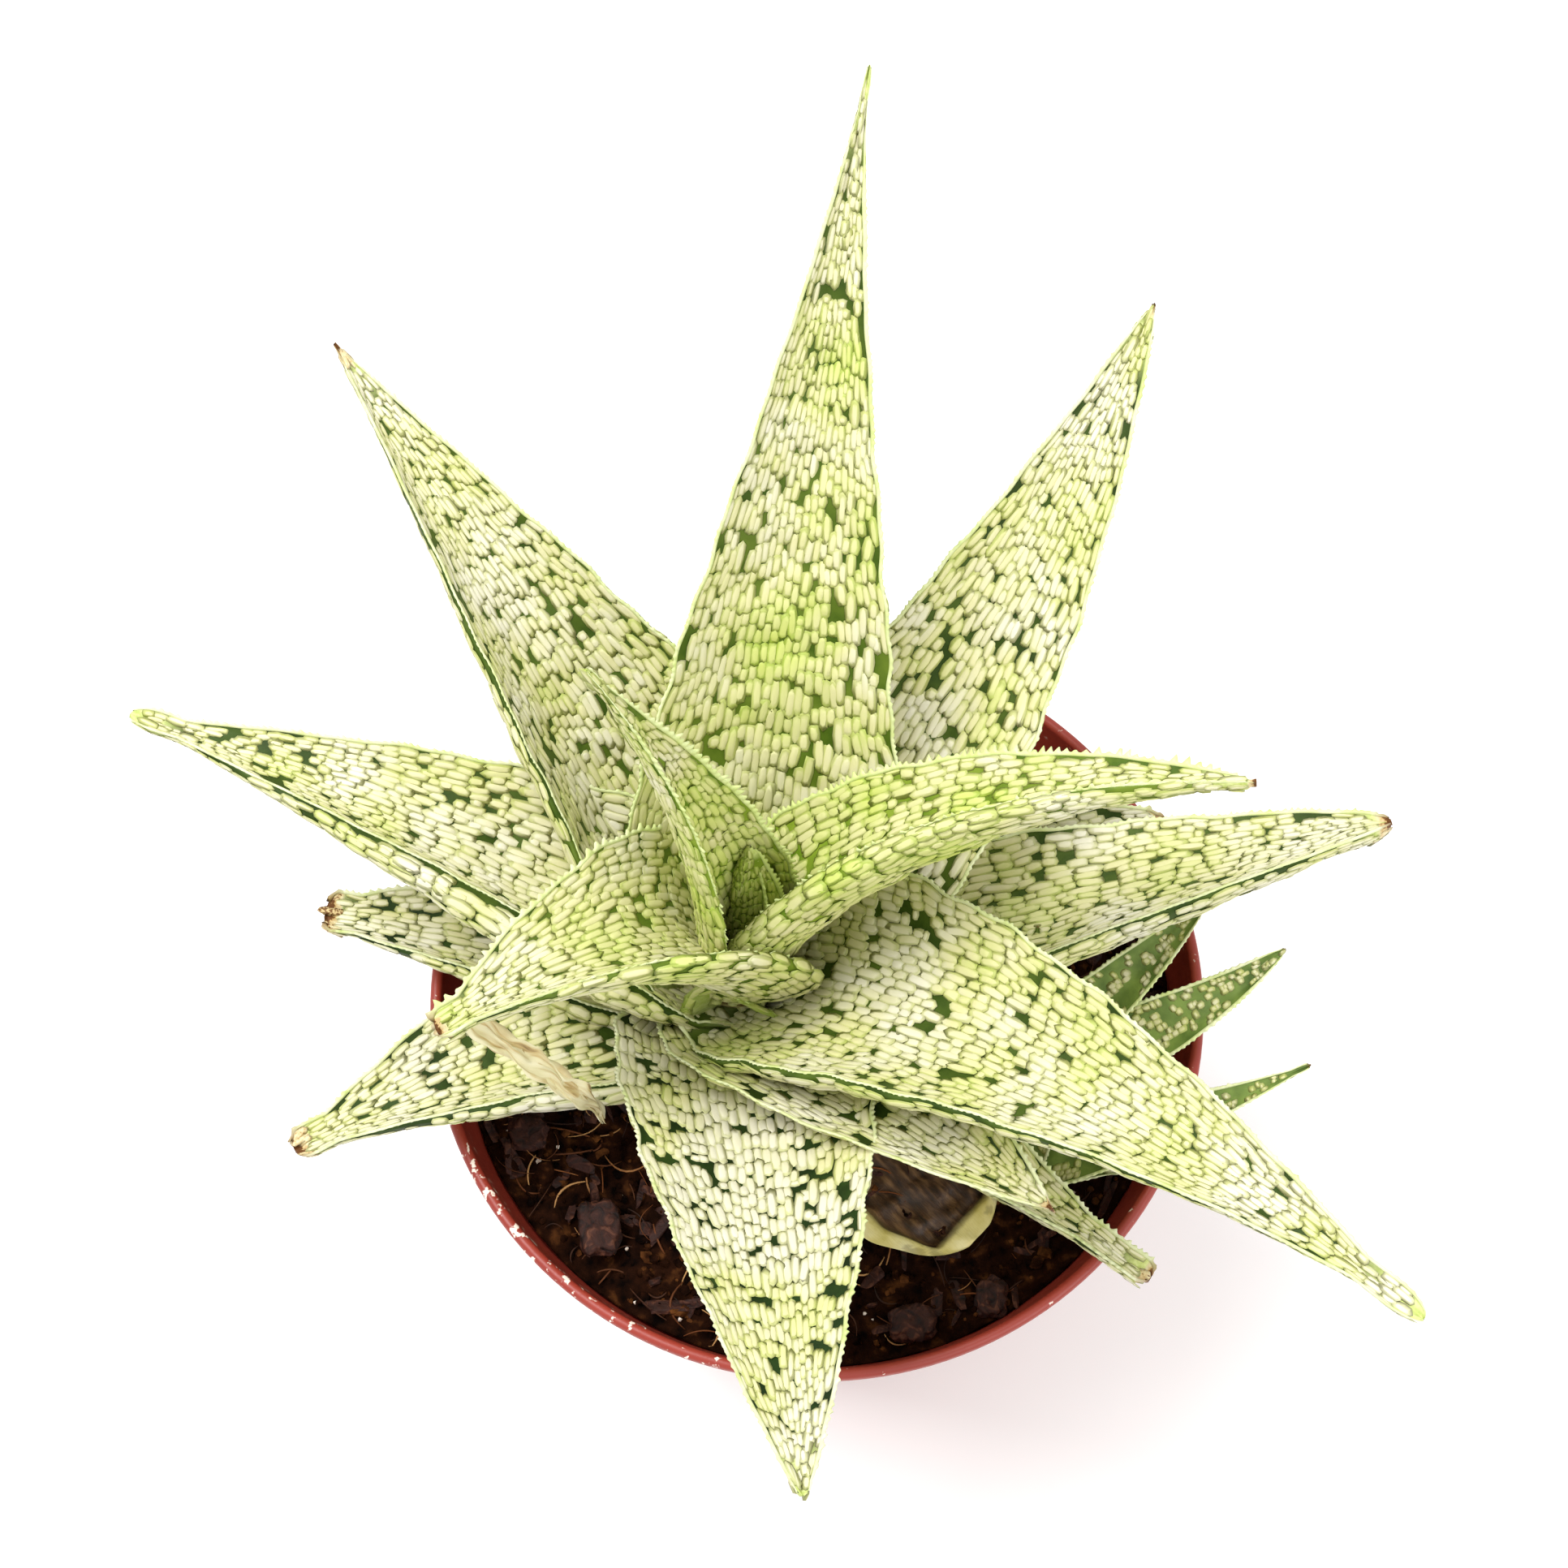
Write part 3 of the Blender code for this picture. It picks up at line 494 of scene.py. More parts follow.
def stem_material():
    """The bare stem between old leaf scars: woody, straw and grey brown."""
    material, tree, shader = new_material("aloe_stem_bark")
    place = add(tree, "ShaderNodeTexCoord").outputs["Object"]
    rings = add(tree, "ShaderNodeTexWave", {"bands_direction": "Z"},
                {"Vector": place, "Scale": 130, "Distortion": 6, "Detail": 3})
    tone = ramp(
        add(tree, "ShaderNodeValToRGB", None, {"Fac": rings.outputs["Fac"]}),
        (0.2, colour("#6C5A2A")), (0.8, colour("#B5AC6C")),
    )
    bump = add(tree, "ShaderNodeBump", None,
               {"Height": rings.outputs["Fac"], "Strength": 0.6, "Distance": 0.0004})
    tree.links.new(tone.outputs[0], shader.inputs["Base Color"])
    tree.links.new(bump.outputs[0], shader.inputs["Normal"])
    shader.inputs["Roughness"].default_value = 0.7
    return material


def floor_material():
    """A plain matt white sweep."""
    material, tree, shader = new_material("white_sweep")
    shader.inputs["Base Color"].default_value = colour("#FDFDFC")
    shader.inputs["Roughness"].default_value = 0.9
    return material


SKIN = leaf_skin_material()
WAX = tubercle_material()
HORN = margin_material()
OFFSET_SKIN = offset_skin_material()
DEAD = dead_leaf_material()
OLD_BASE = old_base_material()
PEAT = peat_material()
FIBRE = fibre_material()
BARK = bark_material()
PERLITE = perlite_material()
PLASTIC = pot_material()
STEM = stem_material()


# ---- Mesh helpers ----

def mesh_of(bm, name):
    mesh = bpy.data.meshes.new(name)
    bm.to_mesh(mesh)
    bm.free()
    return mesh


def points_of(mesh):
    points = np.empty(len(mesh.vertices) * 3)
    mesh.vertices.foreach_get("co", points)
    return points.reshape(-1, 3)


def move_points(mesh, points):
    mesh.vertices.foreach_set("co", np.ravel(points))
    mesh.update()


def tag(mesh, **values):
    """Writes one number for each point under each name."""
    for name, numbers in values.items():
        layer = mesh.attributes.new(name, "FLOAT", "POINT")
        full = np.broadcast_to(numbers, len(mesh.vertices)).astype(float)
        layer.data.foreach_set("value", np.ascontiguousarray(full))


def object_of(mesh, name, *materials):
    piece = bpy.data.objects.new(name, mesh)
    bpy.context.scene.collection.objects.link(piece)
    for material in materials:
        mesh.materials.append(material)
    mesh.shade_smooth()
    return piece


def evaluated(piece):
    graph = bpy.context.evaluated_depsgraph_get()
    graph.update()
    return bpy.data.meshes.new_from_object(piece.evaluated_get(graph))


def copies_of(template, count):
    """One mesh that holds this many copies of the template, and its points as (copy, point, axis)."""
    piece = object_of(template, "template")
    array = piece.modifiers.new("copies", "ARRAY")
    array.count = count
    array.use_relative_offset = False
    mesh = evaluated(piece)
    bpy.data.objects.remove(piece)
    return mesh, points_of(mesh).reshape(count, -1, 3)


def joined(name, pieces):
    """One object made of all the pieces, named for the first one's leaf."""
    first = pieces[0]
    with bpy.context.temp_override(active_object=first, selected_editable_objects=pieces):
        bpy.ops.object.join()
    first.name = first.data.name = name
    return first


def tube_grid(around, stations):
    """A closed tube of rings to bend into shape: (mesh, turn of each point, ring of each point)."""
    bm = bmesh.new()
    bmesh.ops.create_cone(bm, cap_ends=True, segments=around, radius1=1, radius2=1, depth=1)
    upright = [edge for edge in bm.edges if abs(edge.verts[0].co.z - edge.verts[1].co.z) > 0.5]
    bmesh.ops.subdivide_edges(bm, edges=upright, cuts=stations - 1)
    mesh = mesh_of(bm, "tube")
    points = points_of(mesh)
    return mesh, np.arctan2(points[:, 1], points[:, 0]), np.rint((points[:, 2] + 0.5) * stations)


def unit(vectors):
    return vectors / np.linalg.norm(vectors, axis=-1, keepdims=True)


# ---- Leaves ----

class Blade:
    """A leaf's surface, from its share of the length (below 0 in the sheath round the stem) and its
    place x across it, -1 to 1. The upper side is face 1 and the lower face -1."""

    SAMPLES = 400
    STATIONS = 60

    def __init__(self, row, root, seed, ripple=1.0, sheath=0.0, turned=(0, 0.0), dry=0.0):
        self.row = row
        self.dry = dry
        self.length = row.length * MM
        self.ripple = ripple
        self.sheath = sheath / self.length
        self.turned = turned
        chance = np.random.default_rng(seed)
        self.phase = chance.uniform(0, 2 * pi, 8)
        share = np.linspace(0, 1, self.SAMPLES + 1)
        before = -share[1:1 + int(self.sheath * self.SAMPLES)][::-1]
        both = np.concatenate([before, share])
        grown = np.clip(both, 0, 1)
        clasp = self.clasp(both)
        heading = np.radians(row.heading + row.sweep * grown)
        rise = np.radians(row.rise_root + (row.rise_tip - row.rise_root) * grown)
        rise = rise + (pi / 2 - rise) * clasp
        along = np.stack([np.cos(rise) * np.cos(heading), np.cos(rise) * np.sin(heading),
                          np.sin(rise)], -1)
        level = np.stack([-np.sin(heading), np.cos(heading), 0 * heading], -1)
        upright = np.cross(along, level)
        roll = (np.radians(row.roll + row.twist * grown) * (1 - clasp))[:, None]
        across = level * np.cos(roll) + upright * np.sin(roll)
        outward = upright * np.cos(roll) - level * np.sin(roll)
        steps = (along[1:] + along[:-1]) / 2 * self.length / self.SAMPLES
        run = np.vstack([np.zeros(3), np.cumsum(steps, 0)])
        point = np.array(root) + run - run[len(before)]
        self.share = both
        self.columns = np.hstack([point, along, across, outward])
        self.widest = self.width(share).max()
        self.measure()

    def clasp(self, share):
        """0 on the blade, rising to 1 where the sheath lies against the stem."""
        return np.clip(-share * self.length / (5 * MM), 0, 1) ** 0.7

    def blunting(self, share):
        past = np.maximum(0, share - 1 + self.row.tip_round) / self.row.tip_round
        return np.sqrt(np.maximum(0, 1 - past * past))

    def dead(self, share):
        """0 on the live blade, rising to 1 over its dried end."""
        return np.clip((share - 1 + self.dry) / max(self.dry, 0.001) + 0.3, 0, 1) * (self.dry > 0)

    def width(self, share):
        grown = np.maximum(share, 0)
        root = 0.8 + 0.2 * np.sin(pi / 2 * np.minimum(1, grown / 0.15))
        outline = root * (1 - grown) ** self.row.taper * (1 + 1.1 * grown * (1 - grown))
        width = np.maximum(self.row.width * outline, self.row.tip_width) * self.blunting(grown)
        reach = grown * self.length / MM
        wobble = 1 + self.ripple * (0.016 * np.sin(reach / 2.9 + self.phase[0])
                                    + 0.012 * np.sin(reach / 1.3 + self.phase[1]))
        width = np.maximum(width * MM * wobble, LEAST_WIDTH * self.blunting(grown) + 0.05 * MM)
        clasped = np.minimum(width, 2.3 * STEM_RADIUS)
        return width + (clasped - width) * self.clasp(share)

    def thickness(self, share):
        grown = np.maximum(share, 0)
        thickness = np.maximum(self.row.thickness * (1 - grown) ** 0.55, self.row.tip_thickness)
        thickness = np.maximum(thickness, 0.8) * self.blunting(grown) * MM
        return thickness * (1 - 0.6 * self.clasp(share)) * (1 - 0.5 * self.dead(share))

    def swell(self, share, x):
        """Slow unevenness of the surface, in metres."""
        reach = share * self.length / MM
        return self.ripple * MM * (
            0.16 * np.sin(reach / 2.1 + 2.5 * x + self.phase[2])
            + 0.10 * np.sin(reach / 1.1 - 4 * x + self.phase[3])
            + 0.14 * np.sin(6 * x + reach / 9 + self.phase[4])
            + 0.5 * self.dead(share) * np.sin(reach * 2.3 + 9 * x) * np.cos(7 * x + self.phase[6])
        ) * (1 - x * x)

    def points(self, share, x, face):
        point, _, across, outward = (
            np.stack([np.interp(share, self.share, column) for column in part], -1)
            for part in np.split(self.columns.T, 4)
        )
        width = self.width(share)
        channel = self.row.channel + (0.75 - self.row.channel) * self.clasp(share)
        lower = face < 0
        turn = np.arccos(np.clip(x, -1, 1))
        bulge = np.abs(np.sin(turn)) ** 1.4
        side, most = self.turned
        turned = most * (x * side > 0) * np.sin(pi * np.clip(share, 0.02, 1) ** 0.8) ** 0.6
        inward = 1 - turned
        belly = turned * 1.35 * np.abs(np.sin(2 * turn)) * lower
        place = x * inward + side * belly
        depth = channel * width * place * place
        depth = depth + turned * width * 0.42 * np.abs(x) ** 3 * np.where(lower, 1 - bulge, 1)
        depth = depth - np.where(lower, self.thickness(share) * bulge, 0)
        depth = depth + self.swell(share, x) * np.where(lower, -1, 1)
        return point + across * (place * width / 2)[:, None] + outward * depth[:, None]

    def surface(self, share, x, face):
        """(points, along, across, outward normal)"""
        here = self.points(share, x, face)
        step = 0.2 * MM / self.length
        along = unit(self.points(share + step, x, face) - self.points(share - step, x, face))
        near = np.clip(x, -0.97, 0.97)
        across = self.points(share, near + 0.02, face) - self.points(share, near - 0.02, face)
        normal = unit(np.cross(along, across)) * np.sign(face)[:, None]
        return here, along, unit(np.cross(normal, along)), normal

    def measure(self):
        """Distances over the surface from the midrib, for each side of the leaf."""
        self.station = np.linspace(0, 1, self.STATIONS + 1)
        self.spread = np.linspace(-1, 1, 81)
        share, x = np.meshgrid(self.station, self.spread, indexing="ij")
        self.arcs = {}
        for face in (1, -1):
            points = self.points(share.ravel(), x.ravel(), np.full(share.size, face))
            steps = np.linalg.norm(np.diff(points.reshape(*share.shape, 3), axis=1), axis=2)
            arc = np.hstack([np.zeros((len(steps), 1)), np.cumsum(steps, 1)])
            self.arcs[face] = arc - arc[:, 40:41]

    def across_at(self, share, place, face):
        """The x that lies this far over the surface from the midrib."""
        return np.interp(place, self.arcs[face][round(share * self.STATIONS)], self.spread)

    def edges_at(self, share, face):
        arc = self.arcs[face]
        return [np.interp(share, self.station, arc[:, end]) for end in (0, -1)]


def dryness(blade, age, share):
    """0 on live tissue, and from a quarter up to 1 along the dead end of the tip."""
    if not age.dry:
        return np.zeros_like(share)
    dead = (share - 1 + age.dry) / age.dry
    return np.clip(8 * (dead + 0.1), 0, 0.25) + 0.75 * np.clip(dead, 0, 1)


def breaks_in_rows(blade, age, chance):
    """Places where the rows of tubercles part: (reach, side, half length, half span, lean)."""
    area = blade.length * blade.widest * 0.62
    count = int(area / BREAK_AREA * age.spots)
    share = chance.uniform(0.06, 0.97, count)
    side = chance.uniform(-1, 1, count)
    side = np.sign(side) * np.abs(side) ** 0.8
    length = chance.uniform(*BREAK_LENGTH, count) * np.where(age.dash > 2, 0.55, 1)
    span = ROW_PITCH * age.dash * chance.uniform(0.35, 0.95, count)
    lean = chance.uniform(-0.9, 0.9, count)
    return np.stack([share * blade.length, side * blade.widest / 2, length / 2, span / 2, lean], 1)


def lay_rows(blade, age, face, chance, pitch, lengths, cover=1.0):
    """Rows of tubercles along one side of the leaf, as (share, x, half length, half width)."""
    breaks = breaks_in_rows(blade, age, chance)
    widest = max(max(-low, high) for low, high in
                 (blade.edges_at(share, face) for share in blade.station))
    rows = int(widest / pitch) + 1
    laid = []
    for number in range(-rows, rows + 1):
        line = number * pitch
        drift = chance.uniform(0, 2 * pi)
        crossing = [
            (reach + lean * (line - side) - half, reach + lean * (line - side) + half)
            for reach, side, half, span, lean in breaks if abs(line - side) < span
        ] + [(blade.length * 2, 0)]
        crossing.sort()
        reach = chance.uniform(0, 4) * MM - blade.sheath * blade.length
        upcoming = 0
        while reach < blade.length * 0.985:
            start, end = crossing[upcoming]
            if reach >= start - 0.7 * MM:
                reach = max(reach, end)
                upcoming += 1
                continue
            low, high = blade.edges_at(reach / blade.length, face)
            narrow = (high - low) / 2 / widest
            size = lengths[0] + (lengths[1] - lengths[0]) * chance.uniform(0, 1) ** 1.4
            size = min(size * (0.5 + 0.5 * narrow), start - reach)
            share = (reach + size / 2) / blade.length
            if share >= 0.985:
                break
            low, high = blade.edges_at(share, face)
            crowd = max(LEAST_CROWDING, ((high - low) / 2 / widest) ** ROW_CROWDING)
            place = (line + 0.16 * MM * sin(reach / (5 * MM) + drift)) * crowd
            half = crowd * pitch / 2 - chance.uniform(*TUBERCLE_SEAM) / 2
            border = BARE_BORDER * (0.3 + 0.7 * min(1, (high - low) / (12 * MM)))
            start_line = max(place - half, low + border)
            end_line = min(place + half, high - border)
            half = (end_line - start_line) / 2
            if half > 0.16 * MM and chance.random() < cover:
                x = blade.across_at(share, (start_line + end_line) / 2, face)
                laid.append((share, x, size / 2, half))
            reach += size + chance.uniform(*TUBERCLE_GAP)
    return np.array(laid).reshape(-1, 4)


# Rings of a tubercle from its crown down: (share of its half size, height, greenness).
TUBERCLE_RINGS = (
    (0.0, 1.04, 0.0), (0.7, 1.0, 0.0), (0.96, 0.74, 0.5), (1.04, 0.5, 1.0), (1.06, 0.34, 1.0),
    (0.0, -0.6, 1.0),
)


def tubercle_template():
    """A flat-topped pillow of squarish outline, one unit in each half size, on a thin skirt."""
    bm = bmesh.new()
    rings = len(TUBERCLE_RINGS) - 1
    bmesh.ops.create_uvsphere(bm, u_segments=TUBERCLE_SIDES, v_segments=rings, radius=1)
    for vert in bm.verts:
        ring = round(acos(max(-1, min(1, vert.co.z))) / pi * rings)
        out, height, _ = TUBERCLE_RINGS[ring]
        turn = atan2(vert.co.y, vert.co.x)
        vert.co = (
            out * np.sign(cos(turn)) * abs(cos(turn)) ** 0.6,
            out * np.sign(sin(turn)) * abs(sin(turn)) ** 0.6,
            height,
        )
    return mesh_of(bm, "tubercle")


def tubercles(blade, age, faces, chance, pitch, lengths, height, blocked, cover=1.0):
    """One object of all the tubercles on these sides of the leaf."""
    parts = []
    for face in faces:
        laid = lay_rows(blade, age, face, chance, pitch, lengths, cover)
        parts.append(np.hstack([laid, np.full((len(laid), 1), face)]))
    laid = np.vstack(parts)
    share, x, half, wide, face = laid.T
    points, along, across, normal = blade.surface(share, x, face)
    askew = chance.normal(0, 0.05, len(share))[:, None]
    along, across = along + across * askew, across - along * askew
    shown = np.array([not blocked(point) for point in points + normal * 0.2 * MM], bool)
    points, along, across, normal = (v[shown] for v in (points, along, across, normal))
    share, half, wide = share[shown], half[shown], wide[shown]
    count = len(points)
    mesh, shape = copies_of(tubercle_template(), count)
    each = shape.shape[1]
    heights = [height for _, height, _ in TUBERCLE_RINGS]
    ring = np.abs(shape[0, :, 2:3] - heights).argmin(1)
    green = np.array([ring_green for _, _, ring_green in TUBERCLE_RINGS])[ring]
    lift = height * chance.uniform(0.65, 1.3, count) * np.clip(wide / (0.55 * MM), 0.5, 1)
    uneven = 1 + chance.uniform(-0.19, 0.19, shape.shape)
    skirt = chance.uniform(*TUBERCLE_SKIRT, (count, 1)) * (ring == len(heights) - 2)
    shape = shape * uneven
    outward = unit(shape[..., :2] + 1e-9) * skirt[..., None]
    shape = shape * np.stack([half, wide, lift], -1)[:, None, :]
    shape[..., :2] += outward
    placed = (
        points[:, None, :]
        + shape[..., 0:1] * along[:, None, :]
        + shape[..., 1:2] * across[:, None, :]
        + shape[..., 2:3] * normal[:, None, :]
    )
    move_points(mesh, placed)
    tag(
        mesh,
        green=np.tile(green, count),
        tone=np.repeat(chance.uniform(0, 1, count), each),
        young=np.repeat(youth(blade, age, share), each),
        dry=np.repeat(dryness(blade, age, share), each),
    )
    return object_of(mesh, "tubercles", WAX)


def youth(blade, age, share):
    """Greener towards the root, paler out along the blade."""
    return np.clip(age.young * (1.35 - 0.75 * share), 0, 1)


def leaf_skin(blade, age, material):
    """The smooth body of the leaf, from the sheath to the tip."""
    stations = int(blade.length * (1 + blade.sheath) / SKIN_STEP)
    mesh, turn, ring = tube_grid(SKIN_AROUND, stations)
    share = 1 - (1 + blade.sheath) * (1 - ring / stations) ** 1.1
    share = np.minimum(share, 0.9995)
    x, face = np.cos(turn), np.where(np.sin(turn) < -1e-6, -1.0, 1.0)
    move_points(mesh, blade.points(share, x, face))
    width = blade.width(share)
    pale = np.clip((share - 0.90) / 0.06, 0, 1) * np.clip((9 * MM - width) / (4 * MM), 0, 1)
    # Painted light: the sheaths round the stem lie in shade and get the bare tips' whitish green so that they read
    # as lit.
    pale = np.maximum(pale, np.clip(0.8 * blade.clasp(share), 0, 1))
    tag(mesh, young=youth(blade, age, share) ** 1.3, dry=dryness(blade, age, share), green=1.0,
        pale=pale)
    return object_of(mesh, "skin", material)


def margin(blade, age, side, chance):
    """A horny strip along one margin, drawn out into uneven teeth that lean towards the tip."""
    start = -0.5 * blade.sheath
    stations = int(blade.length * (1 - start) / MARGIN_STEP)
    mesh, turn, ring = tube_grid(6, stations)
    share = np.minimum(start + (1 - start) * ring / stations, 0.999)
    ones = np.ones_like(share)
    points, along, across, normal = blade.surface(share, side * 0.985 * ones, ones)
    out = unit(across * side + normal * 0.15)
    pitch = share * blade.length / (TOOTH_PITCH * (0.75 + 0.5 * age.teeth))
    pitch = pitch + 0.3 * np.sin(pitch * 0.7 + blade.phase[5])
    number = np.floor(pitch).astype(int)
    heights = chance.uniform(0.15, 1.0, number.max() + 2)[number]
    tooth = np.clip(1 - np.abs(pitch - number - 0.58) / 0.32, 0, 1) ** 0.9
    thin = np.clip(blade.width(share) / (4 * MM), 0.3, 1)
    reach_out = MARGIN_RADIUS * thin + np.maximum(0, np.cos(turn)) * tooth * heights * age.teeth * MM * thin * 2.0
    flat = MARGIN_RADIUS * 0.8 * thin
    points = (
        points
        + out * (np.cos(turn) * reach_out)[:, None]
        + normal * (np.sin(turn) * flat)[:, None]
        + along * (np.maximum(0, np.cos(turn)) * tooth * heights * age.teeth * 0.4 * MM)[:, None]
    )
    move_points(mesh, points)
    if side > 0:
        mesh.flip_normals()
    tag(mesh, young=youth(blade, age, share), dry=dryness(blade, age, share))
    return object_of(mesh, "margin", HORN)


def stem_radius(height):
    narrowing = max(0.0, height - STEM_SHOULDER) / (STEM_HEIGHT - STEM_SHOULDER)
    return STEM_RADIUS + (STEM_POINT_RADIUS - STEM_RADIUS) * narrowing


def seat(axis, leaf, radius):
    reach = radius - SEAT_DEPTH
    heading = radians(leaf.heading)
    return Vector((axis.x + reach * cos(heading), axis.y + reach * sin(heading),
                   MIX_TOP + leaf.seat * MM))


def solid_of(blade):
    """A plain solid of the leaf, to tell what lies inside it."""
    mesh, turn, ring = tube_grid(24, 60)
    share = np.minimum(ring / 60, 0.999)
    face = np.where(np.sin(turn) < -1e-6, -1.0, 1.0)
    move_points(mesh, blade.points(share, np.cos(turn), face))
    bm = bmesh.new()
    bm.from_mesh(mesh)
    bmesh.ops.recalc_face_normals(bm, faces=bm.faces)
    tree = BVHTree.FromBMesh(bm)
    bm.free()
    return tree


def lies_in(tree, point):
    """Whether a point is inside a solid: a line out of it crosses the skin an odd number of times."""
    point = Vector(point)
    if tree.find_nearest(point, 6 * MM)[0] is None:
        return False
    outwards = Vector((0.31, 0.17, 0.93)).normalized()
    crossed = 0
    while (hit := tree.ray_cast(point, outwards)[0]) is not None:
        point = hit + outwards * 0.01 * MM
        crossed += 1
    return crossed % 2 == 1


def finish_leaf(name, parts):
    leaf = joined("aloe_" + name, parts)
    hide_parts(name)
    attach(leaf, BODY)
    return leaf


def build_leaves():
    blades = {}
    younger = []
    for number, (row, age) in reversed(list(enumerate(LEAVES))):
        bud = row.name.startswith("bud")
        blade = Blade(
            row, seat(STEM_AXIS, row, stem_radius(row.seat * MM)), 11 + number,
            sheath=min(BUD_SHEATH if bud else SHEATH, row.seat * MM), turned=TURNED_MARGINS.get(row.name, (0, 0.0)),
            dry=age.dry,
        )
        blades[row.name] = blade
        chance = np.random.default_rng(100 + number)
        inner = list(younger)
        fine = 0.6 if bud else 1.0
        waxy = tubercles(
            blade, age, (1, -1), chance, ROW_PITCH * fine,
            [length * fine for length in TUBERCLE_LENGTH], TUBERCLE_HEIGHT * fine,
            lambda point: any(lies_in(tree, point) for tree in inner),
        )
        parts = [leaf_skin(blade, age, SKIN), waxy]
        parts += [margin(blade, age, side, chance) for side in (1, -1)]
        if row.name == "leaf_front_left_folded":
            parts.append(withered_tip(blade))
        finish_leaf(row.name, parts)
        younger.append(solid_of(blade))
    return blades


def withered_tip(folded):
    """The dead end of the folded leaf: a crinkled dry ribbon hanging from the fold."""
    end = folded.columns[-1]
    root = end[:3] - end[3:6] * WITHERED_OVERLAP - end[9:] * LEAST_THICKNESS
    blade = Blade(WITHERED_TIP._replace(width=2.8), root, 5, ripple=2.0)
    stations = 120
    mesh, turn, ring = tube_grid(24, stations)
    share = np.minimum(ring / stations, 0.999)
    x, face = np.cos(turn), np.where(np.sin(turn) < -1e-6, -1.0, 1.0)
    points, along, across, normal = blade.surface(share, x, face)
    crumple = np.array([noise.noise_vector(Vector(point) * 260) for point in points])
    curl = np.sin(share * 17 + x * 2)[:, None] * across * 0.0006
    move_points(mesh, points + crumple * 0.0006 + curl)
    tag(mesh, young=0.0, dry=1.0)
    fibre = mesh.attributes.new("fibre", "FLOAT_VECTOR", "POINT")
    lined = np.stack([share * 0.004, x * 0.0025, 0 * x], 1)
    fibre.data.foreach_set("vector", np.ravel(lined))
    return object_of(mesh, "ribbon", DEAD)


def build_offsets():
    """The two offsets: dark leaves with small scattered white tubercles."""
    age = Age(0.3, 0.5, 1.2, 0.35, 0.01)
    for number, (stem, row) in enumerate(PUP_LEAVES):
        low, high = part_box(stem)
        blade = Blade(row, seat((low + high) / 2, row, PUP_STEM_RADIUS), 60 + number, ripple=0.5)
        chance = np.random.default_rng(160 + number)
        waxy = tubercles(
            blade, age, (1, -1), chance, 1.05 * MM, (0.5 * MM, 1.3 * MM), 0.18 * MM,
            lambda point: False, cover=0.38,
        )
        parts = [leaf_skin(blade, age, OFFSET_SKIN), waxy]
        parts += [margin(blade, age, side, chance) for side in (1, -1)]
        finish_leaf(row.name, parts)


def build_old_base():
    """The dying leaf base: a thick cream rim round a sunken, wrinkled brown top."""
    row = OLD_LEAF_BASE
    blade = Blade(row, seat(STEM_AXIS, row, STEM_RADIUS), 91, ripple=1.5)
    stations = 90
    mesh, turn, ring = tube_grid(64, stations)
    share = np.minimum(1 - (1 - ring / stations) ** 1.3, 0.999)
    x, face = np.cos(turn), np.where(np.sin(turn) < -1e-6, -1.0, 1.0)
    points, along, across, normal = blade.surface(share, x, face)
    edge = np.minimum((1 - np.abs(x)) * row.width / 2, (1 - share) * row.length)
    sunk = np.clip((edge - 3.2) / 1.6, 0, 1) * (face > 0)
    folds = np.array([noise.fractal(Vector(point) * 190, 0.9, 2.1, 4) for point in points])
    lines = np.sin(x * 14 + folds * 3)
    drop = sunk * (2.0 + 0.9 * folds + 0.35 * lines) * MM
    move_points(mesh, points - normal * drop[:, None])
    tag(mesh, dry=np.clip(sunk * 1.6 + 0.35 * (folds > 0.35), 0, 1))
    base = object_of(mesh, "aloe_old_leaf_base", OLD_BASE)
    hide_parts(row.name)
    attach(base, BODY)


# ---- Potting mix ----

def mix_height(x, y):
    """Height of the loose surface: crowned at the stem, lumpy all over."""
    reach = np.hypot(x, y) / MIX_RADIUS
    crowned = MIX_TOP + MIX_CROWN * np.where(reach < 0.5, 1 - 0.5 * reach, 1.5 * (1 - reach))
    lumps = np.array([
        noise.fractal(Vector((a, b, 0.3)) * 110, 0.75, 2.2, 5) for a, b in zip(np.ravel(x), np.ravel(y))
    ]).reshape(np.shape(x))
    return crowned + lumps * 2.1 * MM - 0.7 * MM


def build_mix():
    rings, around = 90, 180
    bm = bmesh.new()
    profile = [bm.verts.new((MIX_RADIUS * number / rings, 0, MIX_TOP)) for number in range(rings + 1)]
    wall = [(MIX_RADIUS * 0.97, MIX_TOP - 12 * MM), (MIX_RADIUS * 0.76, MIX_LOW.z + 2 * MM),
            (MIX_RADIUS * 0.72, MIX_LOW.z), (0, MIX_LOW.z)]
    profile += [bm.verts.new((radius, 0, height)) for radius, height in wall]
    edges = [bm.edges.new(pair) for pair in zip(profile, profile[1:])]
    bmesh.ops.spin(bm, geom=profile + edges, cent=(0, 0, 0), axis=(0, 0, 1), angle=2 * pi,
                   steps=around, use_merge=True)
    bmesh.ops.remove_doubles(bm, verts=bm.verts, dist=0.00001)
    bmesh.ops.recalc_face_normals(bm, faces=bm.faces)
    mesh = mesh_of(bm, "mix")
    points = points_of(mesh)
    top = points[:, 2] > MIX_TOP - 1 * MM
    points[top, 2] = mix_height(points[top, 0], points[top, 1])
    move_points(mesh, points)
    tag(mesh, tone=0.2)
    parts = [object_of(mesh, "surface", PEAT)]
    chance = np.random.default_rng(3)
    parts.append(crumbs("crumbs", chance, 3200, 1, (0.35 * MM, 1.1 * MM), PEAT, 0.9))
    parts.append(crumbs("lumps", chance, 300, 2, (0.9 * MM, 2.3 * MM), PEAT, 0.6))
    parts.append(crumbs("perlite", chance, 60, 1, (0.25 * MM, 0.75 * MM), PERLITE, 1.0))
    parts.append(splinters(chance, 420))
    parts.append(fibres(chance, 600))
    mix = joined("aloe_potting_mix", parts)
    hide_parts("potting_mix")
    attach(mix, BODY)


